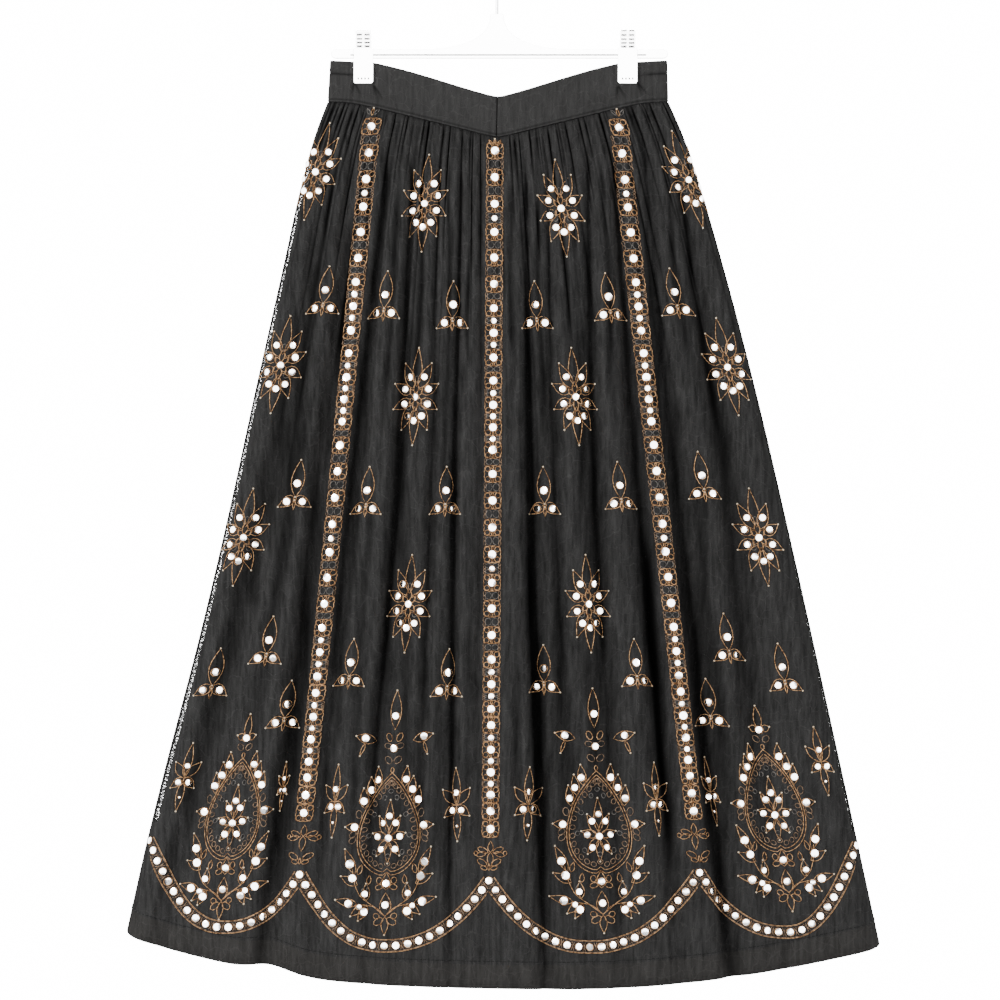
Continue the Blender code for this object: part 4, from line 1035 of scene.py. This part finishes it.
def medallion_motif(crowned):
    """The large border motif: a double teardrop round a star, with a leaf above it, mirrored leaves up its
    flanks, and two leafy branches that spring from a flower at its foot. A crowned one has a flower under
    its top leaf and a small winged leaf on either side."""
    medal = Motif()
    for scale in (1.0, 0.925):
        medal.copper.append((teardrop(scale), True))
    for k, (side, down) in enumerate(teardrop(0.82)[::2]):
        medal.loop((side, down), 2.9, 2.4, lean=24.0 * k, brown=True)
        if k % 3 == 0:
            medal.loop((0.8 * side, 8.0 + 0.8 * (down - 8.0)), 2.6, 2.2, lean=24.0 * k, dark=True)

    for side, down, half in ((0, -38, 4.8), (11.5, -22, 4.2), (18, -5, 4.0), (12.5, 17.5, 4.0), (0, 25, 3.6)):
        for sign in (1, -1) if side else (1,):
            medal.leaf((sign * 0.1 * side, 20.5 + 0.1 * down), (sign * side, 20.5 + down), half, belly=0.75)
    medal.mirror(0, 20.5, 3.4)
    medal.mirror(0, -1.5, 3.1)
    for sign in (-1, 1):
        for side, down in ((6.8, 5.5), (12.0, 19.0), (7.4, 31.5)):
            medal.mirror(sign * side, down, 3.1)

        for side, down, radius in ((15.5, -37.5, 3.5), (22.5, -27.5, 3.4), (29, -17, 3.5)):
            medal.leaf((sign * (side - 1.5), down + 7.5), (sign * (side + 0.5), down - 13), 4.2)
            medal.mirror(sign * side, down, radius)
        medal.loop((sign * 33, -4), 3.2, 4.2, lean=sign * 12.0, brown=True)
        medal.leaf((sign * 32, 9), (sign * 47, 8), 4.2)
        medal.mirror(sign * 37, 8.6, 3.6)
        for down in (16, 21.5):
            medal.loop((sign * 38.5, down), 4.2, 2.9, lean=sign * 40.0, brown=True)

        if crowned:
            medal.leaf((sign * 20, -76), (sign * 41, -82), 4.8, belly=0.9)
            medal.mirror(sign * 31, -79.5, 3.5)
            medal.leaf((sign * 31, -74), (sign * 36, -62), 1.6)
            medal.loop((sign * 5.6, -79.5), 3.0, 4.6, lean=sign * 28.0)
            medal.loop((sign * 6.5, -71.0), 4.2, 2.8, lean=sign * -12.0, brown=True)
            medal.loop((sign * 5.0, -57.0), 4.6, 3.2, lean=sign * -38.0, brown=True)
        else:
            medal.leaf((sign * 2, -64), (sign * 11, -67), 3.4, belly=0.9)
            medal.loop((sign * 5.0, -55.0), 4.2, 3.0, lean=sign * -38.0, brown=True)

        medal.line((0, 101), (sign * 14, 90), (sign * 27, 80), (sign * 34, 65), (sign * 37, 50))
        medal.line((0, 101), (sign * 10, 92), (sign * 22, 89), (sign * 32, 88))
        sprays = ((40, 45, 34, 55, 46, 30, 4.0), (36.5, 59.5, 31, 67, 49, 57, 3.9))
        sprays += ((23.5, 77, 21, 84, 22.5, 66, 3.1), (39.5, 86.5, 30, 88, 54, 82, 3.9))
        sprays += ((28.5, 90.5, 23, 88.5, 37, 100, 2.7), (23.5, 96, 20, 90, 29, 105, 3.8))
        for side, down, root_side, root_down, tip_side, tip_down, radius in sprays:
            medal.leaf((sign * root_side, root_down), (sign * tip_side, tip_down), 0.5 * radius + 2.3)
            medal.mirror(sign * side, down, radius)
        for side, down, lean in ((31, 51, 35), (26, 72, 50), (20, 62, 10)):
            root, tip = (sign * side, down + 5), (sign * (side - 0.1 * lean), down - 5)
            medal.leaf(root, tip, 2.4, dark=lean > 40, knot=False)

        medal.loop((sign * 8.0, 63.0), 3.0, 3.6)
        medal.loop((sign * 7.8, 70.0), 4.2, 2.8, lean=sign * 18.0)
        medal.loop((sign * 7.0, 106.5), 5.8, 3.6, lean=sign * 32.0)
        medal.loop((sign * 9.5, 101.0), 3.6, 3.0, lean=sign * -30.0)
    if crowned:
        medal.leaf((0, -87), (0, -126), 5.8, belly=0.92)
        medal.mirror(0, -100.7, 3.5)
        medal.mirror(0, -68.5, 3.5)
    else:
        medal.leaf((0, -64), (0, -88), 4.0, belly=0.8)
        medal.mirror(0, -64, 3.5)
    medal.mirror(0, 66, 3.5)
    medal.leaf((0, 73), (0, 55), 4.6, knot=False)
    medal.leaf((0, 101), (0, 76), 6.2, knot=False)
    medal.mirror(0, 89, 3.5)
    medal.leaf((0, 102), (0, 121), 3.8)
    medal.loop((0, -47), 1.8, 2.6)
    medal.draw_in(54.0, 0.93)
    return medal


def butterfly_motif():
    """Four small petals and two notched side petals, as at the foot of each column."""
    flower = Motif()
    flower.leaf((0, 0), (0, -11), 2.7, knot=False)
    flower.leaf((0, 0), (0, 15), 3.0, knot=False)
    for sign in (-1, 1):
        flower.loop((sign * 7.5, -2.0), 5.6, 2.6, lean=sign * -24.0)
        flower.loop((sign * 9.0, 2.0), 5.0, 2.4, lean=sign * 18.0)
        flower.loop((sign * 14.5, 1.0), 1.8, 2.2)
    return flower


Place = namedtuple("Place", "x height")
STARS = [Place(*row) for row in (
    (-184, -224), (-75, -256), (61, -261), (188, -232),
    (-219, -417), (-84, -449), (75, -449), (227, -419),
    (-256, -589), (-91, -655), (88, -655), (258, -589),
)]
TREFOILS = [Place(*row) for row in (
    (-174, -342), (-114, -347), (-47, -357), (36, -357), (108, -349),
    (174, -344), (-202, -535), (-132, -542), (-54, -542), (44, -542),
    (119, -537), (201, -527), (-230, -691), (-148, -713), (-52, -723),
    (44, -719), (135, -713), (226, -688), (281, -718), (-284, -723),
    (-213, -755), (209, -753),
)]
Sprig = namedtuple("Sprig", "x height size lean narrow")
SPRIGS = [Sprig(*row) for row in (
    (-315, -829, 0.92, 1.0, 1.0), (-218, -838, 0.66, -2.0, 0.55), (-164, -852, 0.98, -2.0, 0.85),
    (-43, -855, 0.98, -4.0, 1.05), (28, -854, 0.98, 2.0, 1.1), (156, -850, 0.98, 1.0, 0.95),
    (212, -843, 0.92, -3.0, 0.6), (320, -813, 0.92, -1.0, 1.0),
)]
Medallion = namedtuple("Medallion", "x height lean narrow crowned")
MEDALLIONS = [Medallion(*row) for row in (
    (-263, -853, -2.0, 0.77, False), (-109.5, -867, -2.1, 0.92, True),
    (97.5, -865, 0.1, 0.96, True), (270.5, -845, -0.7, 0.86, False),
)]
CUSPS = (Place(-349, -892), Place(-199, -924), Place(-11, -929), Place(198, -922), Place(355, -897))
SCALLOP_FEET = (Place(-275, -977), Place(-116, -994), Place(90, -995), Place(285, -982))
COLUMN_HALF, COLUMN_END, CELL_HALF = 7.9, 8.0, 8.4
# Down a column, in turn: how far on the next mirror lies, and whether it is a small one between two cells
COLUMN_STEPS = (
    (26.5, 0), (26.8, 0), (26.8, 0), (14.4, 1), (13.8, 0), (25.7, 0), (26.4, 0), (24.3, 0), (12.5, 1),
    (12.1, 0), (11.9, 1), (12.7, 0), (23.0, 0), (12.6, 1), (11.7, 0), (11.4, 1), (11.0, 0), (11.5, 1),
    (11.0, 0), (24.0, 0),
)
FIRST_MIRRORS, CELL_MIRROR, SMALL_MIRROR, SHORTEST_LINK = (20.0, 10.5, 20.0), 4.0, 2.9, 1.6
# A column's long steps shorten from this share of its length, within this much more, by this share
SHORT_FROM, SHORT_WITHIN, SHORT_BY, LONG_STEP = 0.72, 0.12, 0.33, 20.0
BUTTERFLY_BELOW, WINGS_ABOVE, RIBBON_MIRROR, RAIL_APART, CROSS_STITCH = 15, 13, 3.6, 0.8, (1.3, 4.2)
SCALLOP_STEPS, RAIL_STEPS, RING_GAP = 241, 60, 0.2
RIBBON_HALF, RIBBON_PITCH, SCALLOP_POWER = 6.2, 11.6, 2.3

for place in STARS:
    lay(star_motif(), *place)
for place in TREFOILS:
    lay(trefoil_motif(), *place)
for sprig in SPRIGS:
    lay(sprig_motif(), **sprig._asdict())
for x, height, lean, narrow, crowned in MEDALLIONS:
    lay(medallion_motif(crowned), x, height, lean=lean, narrow=narrow)


def cell_motif():
    """A main mirror of a column in a square of thread whose four sides are scalloped, with a small round
    petal in each corner and a point above and below the mirror."""
    cell = Motif()
    cell.mirror(0, 0, CELL_MIRROR)
    turn = 2 * np.pi * np.arange(48) / 48
    square = (np.abs(np.cos(turn)) ** 5 + np.abs(np.sin(turn)) ** 5) ** -0.2
    reach = COLUMN_HALF * square * (1.0 + 0.07 * np.abs(np.sin(6.0 * turn)))
    cell.copper.append((np.stack([reach * np.cos(turn), reach * np.sin(turn)], axis=-1), True))
    for sign in (-1, 1):
        for up in (-1, 1):
            cell.loop((sign * 4.9, up * 5.0), 2.6, 2.6)
        cell.leaf((0, sign * 4.6), (0, sign * 8.8), 0.9, knot=False)
    return cell


def link_motif(gap):
    """The dark loops that fill a column between two cells, inside a thin brown edge."""
    link = Motif()
    half = 0.5 * gap
    for sign in (-1, 1):
        link.loop((sign * 3.5, 0), 3.1, 0.78 * half, dark=True)
        for up in (-1, 1):
            link.loop((sign * (COLUMN_HALF - 0.5), up * 0.5 * half), 1.1, 0.52 * half, brown=True)
    return link


def along_column(column, down):
    """The point of a column's middle line that is `down` millimetres below its top."""
    share = down / (column.top_height - column.foot_height)
    return column.top_x + (column.foot_x - column.top_x) * share, column.top_height - down


def column_mirrors(length, first):
    """How far down a column its mirrors lie, with a 1 for a small one: its steps from the first mirror over
    and over, at their full size above and shortening to two thirds at the foot, so that the last one lies
    half a cell above the foot."""
    downs, small = [first], [0]
    while downs[-1] < length - COLUMN_END:
        step, kind = COLUMN_STEPS[len(downs) % len(COLUMN_STEPS)]
        low = smooth_step((downs[-1] / length - SHORT_FROM) / SHORT_WITHIN)
        downs.append(downs[-1] + step * (1.0 - SHORT_BY * low * (step > LONG_STEP)))
        small.append(kind)
    small[-1] = 0
    downs = np.array(downs)
    return first + (downs - first) * (length - COLUMN_END - first) / (downs[-1] - first), small


for column, first in zip(COLUMNS, FIRST_MIRRORS):
    length = column.top_height - column.foot_height
    crown = Motif()
    crown.leaf((0, 4), (0, -4), 1.2)
    for sign in (-1, 1):
        crown.leaf((sign * 2, 3), (sign * 6.0, -3), 1.2, dark=column is not COLUMNS[1], knot=False)
    lay(crown, *along_column(column, 0.25 * first), thread="column")
    downs, small = column_mirrors(length, first)
    for k, down in enumerate(downs):
        if small[k]:
            speck = Motif()
            speck.mirror(0, 0, SMALL_MIRROR)
            lay(speck, *along_column(column, down))
        else:
            lay(cell_motif(), *along_column(column, down), thread="column")
        if k:
            room = [CELL_HALF if kind == 0 else 0.0 for kind in small[k - 1 : k + 1]]
            gap = down - downs[k - 1] - sum(room)
            if gap > SHORTEST_LINK:
                lay(link_motif(gap), *along_column(column, downs[k - 1] + room[0] + 0.5 * gap))
    lay(butterfly_motif(), column.foot_x, column.foot_height - BUTTERFLY_BELOW)

for cusp in CUSPS[1:-1]:
    wings = Motif()
    for sign in (-1, 1):
        wings.loop((sign * 7.0, -5.0), 5.4, 2.8, lean=sign * -30.0)
        wings.loop((sign * 5.0, 0.5), 3.4, 2.0, lean=sign * -20.0)
    wings.leaf((0, 3), (0, -4), 1.0, knot=False)
    lay(wings, cusp.x, cusp.height + WINGS_ABOVE)


def scallop(start, end, foot):
    """A scalloped ribbon between two cusps: two threads with mirrors between them, and between the mirrors
    two crossed stitches. Its middle line rises from the foot to each cusp as a power of the distance."""
    fine = np.linspace(0.0, 1.0, SCALLOP_STEPS)
    x = start.x + (end.x - start.x) * fine
    cusp_x, cusp_height = (np.where(x < foot.x, *ends) for ends in zip(start, end))
    share = np.abs((x - foot.x) / (cusp_x - foot.x))
    height = (foot.height + (cusp_height - foot.height) * share**SCALLOP_POWER) * MM
    x = x * MM
    across = across_at(x, height)
    arc = across * half_length(level_at(across, height))
    ahead = np.stack([np.gradient(arc), -np.gradient(height)], axis=-1)
    ahead /= np.linalg.norm(ahead, axis=-1, keepdims=True)
    beside = np.stack([-ahead[:, 1], ahead[:, 0]], axis=-1)
    travel = np.concatenate([[0.0], np.cumsum(np.hypot(np.diff(arc), np.diff(height)))])

    def at(distance, forward=0.0, out=0.0):
        spot = [np.interp(distance, travel, values) for values in (x, height)]
        forward_way = [np.interp(distance, travel, ahead[:, k]) for k in (0, 1)]
        out_way = [np.interp(distance, travel, beside[:, k]) for k in (0, 1)]
        offset = [forward * f * MM + out * o * MM for f, o in zip(forward_way, out_way)]
        return np.stack([*spot, *offset], axis=-1)

    length = travel[-1]
    count = int(round(length / (RIBBON_PITCH * MM)))
    rail = np.linspace(0.0, length, RAIL_STEPS)
    inner = RIBBON_HALF - RAIL_APART
    for face in (1.0, -1.0):
        for out in (-RIBBON_HALF, RIBBON_HALF, -inner, inner):
            path = at(rail, out=out)
            seen = path[:, 0] + path[:, 2]
            path = path[(seen >= start.x * MM) & (seen <= end.x * MM)]
            kind = "copper" if abs(out) == RIBBON_HALF else "brown"
            WORK[kind].append((np.column_stack([path, np.full(len(path), face)]), False))
        for k in range(1 if start.x > CUSPS[0].x else 0, count + 1):
            WORK["mirror"].append((*at(k * length / count), face, RIBBON_MIRROR * MM))
        for k in range(count):
            gap = (k + 0.5) * length / count
            for lean in (-1, 1):
                ahead_by, out_by = CROSS_STITCH
                stitch = [at(gap, forward=ahead_by * s, out=out_by * s * lean) for s in (-1.0, 0.0, 1.0)]
                WORK["brown"].append((np.column_stack([np.stack(stitch), np.full(3, face)]), False))


for start, end, foot in zip(CUSPS, CUSPS[1:], SCALLOP_FEET):
    scallop(start, end, foot)


def thread_material(name, dark, light, roughness):
    """Spun thread: a tone that changes along it in fine noise, over a fine bump of its twist."""
    twist = {"bump_depth": 0.0002, "detail": 3.0, "span": (0.36, 0.64)}
    return toned(name, dark, light, 420.0, roughness, specular=0.1, **twist)


def hard_material(name, colour, change, grain, roughness, metallic, bump_depth=0.0, specular=0.5):
    """A hard material whose tone is darker by the share `change` at most, in fine noise."""
    worn = [c * (1.0 - change) for c in colour]
    return toned(name, worn, colour, grain, roughness, metallic, bump_depth, specular=specular)


copper_thread = thread_material("copper_thread", (0.15, 0.065, 0.024), (0.98, 0.58, 0.29), 0.6)
brown_thread = thread_material("brown_thread", (0.07, 0.045, 0.03), (0.50, 0.33, 0.21), 0.65)
dark_thread = thread_material("dark_thread", (0.05, 0.046, 0.043), (0.27, 0.25, 0.23), 0.7)
gold_thread = thread_material("gold_knots", (0.80, 0.56, 0.34), (0.97, 0.86, 0.66), 0.5)
# Silvered glass, its silvering a little uneven in tone, and a painted dark reflection on some mirrors
mirror_glass = hard_material("mirror_glass", (0.97, 0.97, 0.97), 0.08, 260.0, 0.12, 1.0)
mirror_painted_reflection = hard_material("mirror_painted_reflection", (0.20, 0.20, 0.21), 0.08, 260.0, 0.2, 1.0)

for name, kind, material in (
    ("motif_threads", "copper", copper_thread),
    ("column_threads", "column", copper_thread),
    ("brown_threads", "brown", brown_thread),
    ("dark_threads", "dark", dark_thread),
):
    thread_piece(name, WORK[kind], material)


def disc_piece(name, places, radius, profile, sides, tilt, raised, materials, slot, shaded_share=0.0):
    """One object of all the discs. A few of them have a crescent of the second material on their face, which
    on mirrors is a painted dark reflection.
    """
    points, faces = small_discs(places, radius, profile, sides, tilt, raised)
    count, size = points.shape[:2]
    everything, index = [], []
    crescent = random.random(count) < shaded_share
    first = random.integers(0, sides, count)
    rings = len(profile) - 2
    per_side = rings + 1
    for disc in range(count):
        start = disc * size
        everything += [tuple(start + corner for corner in face) for face in faces]
        shade = np.zeros(len(faces), int)
        if crescent[disc]:
            for k in range(3):
                side = (first[disc] + k) % sides
                shade[side * per_side + per_side - 2] = 1
        index.append(shade)
    piece = dress(add_mesh(name, points, everything, smooth=False), slot, *materials)
    piece.data.polygons.foreach_set("material_index", np.concatenate(index).astype(np.int32))


mirror_table = np.array(WORK["mirror"], float)
mirror_size = mirror_table[:, 5] * random.uniform(0.94, 1.05, len(mirror_table))
disc_piece(
    "mirrors", mirror_table[:, :5], mirror_size, MIRROR_PROFILE, MIRROR_SIDES, MIRROR_TILT, MIRROR_RAISED,
    (mirror_glass, mirror_painted_reflection), "mirrors", SHADED_MIRRORS,
)
knot_table = np.array(WORK["knot"], float)
disc_piece(
    "knots", knot_table, np.full(len(knot_table), KNOT_RADIUS), KNOT_PROFILE, KNOT_SIDES, 0.0, THREAD_RAISED,
    (gold_thread,), "thread",
)

rings = []
for row, size in zip(mirror_table, mirror_size):
    turn = 2 * np.pi * np.arange(RING_STEPS) / RING_STEPS
    path = np.tile(row[:5], (RING_STEPS, 1))
    path[:, 2] += (size + RING_GAP * MM) * np.cos(turn)
    path[:, 3] += (size + RING_GAP * MM) * np.sin(turn)
    rings.append((path, True))
thread_piece("mirror_rings", rings, copper_thread, RING_RADIUS)


# The hem's line of stitches, which holds its turned-up edge all round. Each stitch is a short thread with
# three points, and the row follows the hem 27 mm above it.
STITCH_PITCH, STITCH_LENGTH, STITCH_RADIUS, STITCHED_ACROSS = 0.0042, 0.0030, 0.00035, 0.985
hem_stitches = []
for face in (1.0, -1.0):
    for middle in np.arange(-STITCHED_ACROSS, STITCHED_ACROSS, STITCH_PITCH / half_length(1.0)):
        stitch_across = middle + np.array([-0.5, 0.0, 0.5]) * STITCH_LENGTH / half_length(1.0)
        stitch_x = half_ring(stitch_across, *skirt_ring(1.0))[0]
        stitch_height = seam_and_hem(stitch_across)[1] + HEM_TURN_UP
        stitch = np.column_stack([stitch_x, stitch_height, np.zeros((3, 2)), np.full(3, face)])
        hem_stitches.append((stitch, False))
hem_thread = thread_material("hem_thread", (0.003, 0.003, 0.003), (0.012, 0.012, 0.012), 0.8)
thread_piece("hem_stitches", hem_stitches, hem_thread, STITCH_RADIUS)


# The hanger: moulded white plastic, a steel wire hook and leaf springs. A shallow channel runs along the
# bar's front, and its shadow is painted on as a dark strip. The zip's slider and pull tab are enamelled
# black.
white_plastic = hard_material("white_plastic", (0.93, 0.93, 0.93), 0.03, 420.0, 0.38, 0.0, 0.00004)
wire_steel = hard_material("wire_steel", (0.42, 0.42, 0.43), 0.30, 900.0, 0.24, 1.0, 0.00002)
black_enamel = hard_material("black_enamel", (0.035, 0.035, 0.035), 0.25, 700.0, 0.42, 0.0, 0.00002, 0.09)
# Painted shadow: a near-black for the strip in the bar's channel and for the marks on the clips' ridges and
# holes
recess_shadow = hard_material("painted_recess_shadow", (0.030, 0.029, 0.028), 0.2, 300.0, 0.8, 0.0, 0.00002)

HARD_NODES = {
    white_plastic: ["hanger_bar"] + [f"clip_{s}_{f}" for s in ("left", "right") for f in ("front", "back")],
    wire_steel: ["hanger_hook", "clip_left_spring", "clip_right_spring"],
    black_enamel: ["zip_slider", "zip_pull"],
}
for hard_look, hard_names in HARD_NODES.items():
    for hard_name in hard_names:
        hard_node = repaint(hard_name, hard_look)
        if hard_look is not black_enamel:
            hanger_lit.objects.link(hard_node)

# The channel's shadow, painted on as a thin dark strip with rounded ends across the bar's front
CHANNEL_LEFT, CHANNEL_RIGHT, CHANNEL_HEIGHT, CHANNEL_HALF = -0.1490, 0.1455, -0.1071, 0.0007
CHANNEL_DEPTHS, CHANNEL_CORNERS = (0.0004, -0.0002), 9
bar_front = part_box("hanger_bar")[0][1]
channel_turn = np.linspace(0.5 * np.pi, 1.5 * np.pi, CHANNEL_CORNERS)
channel_side = CHANNEL_HALF * np.cos(channel_turn)
channel_side = np.concatenate([CHANNEL_LEFT + channel_side, CHANNEL_RIGHT - channel_side])
channel_up = CHANNEL_HEIGHT + CHANNEL_HALF * np.concatenate([np.sin(channel_turn), -np.sin(channel_turn)])
channel_size = len(channel_side)
channel_rows = []
for depth in CHANNEL_DEPTHS:
    channel_y = np.full(channel_size, bar_front + depth)
    channel_rows.append(np.stack([channel_side, channel_y, channel_up], axis=-1))
channel_faces = grid_faces(2, channel_size, wrap=True).tolist()
channel_faces += [list(range(channel_size - 1, -1, -1)), list(range(channel_size, 2 * channel_size))]
bar_channel_shadow = add_mesh("bar_channel_shadow", np.stack(channel_rows), channel_faces, smooth=False)
dress(bar_channel_shadow, "hanger_plastic", recess_shadow)

# Painted shade on the front jaws: grey strips along the grip ridges moulded across their levers, and dark
# squares over four small holes in each
RIDGE_ROWS = {"clip_left_front": (35.3, 39.3, 43.0, 46.6), "clip_right_front": (31.4, 35.6, 39.6, 43.4, 47.0)}
RIDGE_REACH, RIDGE_HALF, RIDGE_PROUD = (0.0012, 0.0064), 0.00065, 0.0003
HOLES, HOLE_PITCH, HOLE_ABOVE_FOOT, HOLE_SIZE, HOLE_PROUD = 4, 0.0034, 0.0046, (0.0015, 0.0018), 0.0002
BLOCK_SUNK, BAR_DOWN = 0.0004, 52.0
BLOCK_CORNERS = 0.5 * np.array([[-1, -1], [1, -1], [1, 1], [-1, 1]])
BLOCK_FACES = np.array([[3, 2, 1, 0], [4, 5, 6, 7], [0, 1, 5, 4], [1, 2, 6, 5], [2, 3, 7, 6], [3, 0, 4, 7]])


def front_of(points, height):
    """How near a jaw comes to the front at a height: the lowest y of its points within 2 mm."""
    return points[np.abs(points[:, 2] - height) < 0.002, 1].min()


def flat_blocks(name, places, proud, material):
    """Small flat blocks that stand `proud` of the face they lie on: rows of x, y, height, width and depth."""
    places = np.array(places)
    sides = places[:, None, [3, 4]] * BLOCK_CORNERS
    layers = []
    for push in (BLOCK_SUNK, -proud):
        layer = np.empty((len(places), 4, 3))
        layer[..., 0] = places[:, None, 0] + sides[..., 0]
        layer[..., 1] = places[:, None, 1] + push
        layer[..., 2] = places[:, None, 2] + sides[..., 1]
        layers.append(layer)
    faces = BLOCK_FACES + 8 * np.arange(len(places))[:, None, None]
    blocks = add_mesh(name, np.concatenate(layers, axis=1), faces.reshape(-1, 4), smooth=False)
    dress(blocks, "hanger_plastic", material)


ridge_shadows, holes = [], []
for jaw_name, rows in RIDGE_ROWS.items():
    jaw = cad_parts[jaw_name]
    jaw_points = np.empty(3 * len(jaw.data.vertices))
    jaw.data.vertices.foreach_get("co", jaw_points)
    jaw_points = jaw_points.reshape(-1, 3)
    jaw_low, jaw_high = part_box(jaw_name)
    middle = 0.5 * (jaw_low[0] + jaw_high[0])
    for row in rows:
        row_height = -(row + BAR_DOWN) * MM
        for ridge_side in (-1, 1):
            ridge_x = middle + ridge_side * 0.5 * sum(RIDGE_REACH)
            ridge_front = front_of(jaw_points, row_height)
            ridge_shadows.append((ridge_x, ridge_front, row_height, RIDGE_REACH[1] - RIDGE_REACH[0], 2 * RIDGE_HALF))
    hole_height = jaw_low[2] + HOLE_ABOVE_FOOT
    for k in range(HOLES):
        hole_x = middle + (k - 0.5 * (HOLES - 1)) * HOLE_PITCH
        holes.append((hole_x, front_of(jaw_points, hole_height), hole_height, *HOLE_SIZE))
flat_blocks("clip_ridge_shadows", ridge_shadows, RIDGE_PROUD, recess_shadow)
flat_blocks("clip_hole_shadows", holes, HOLE_PROUD, recess_shadow)
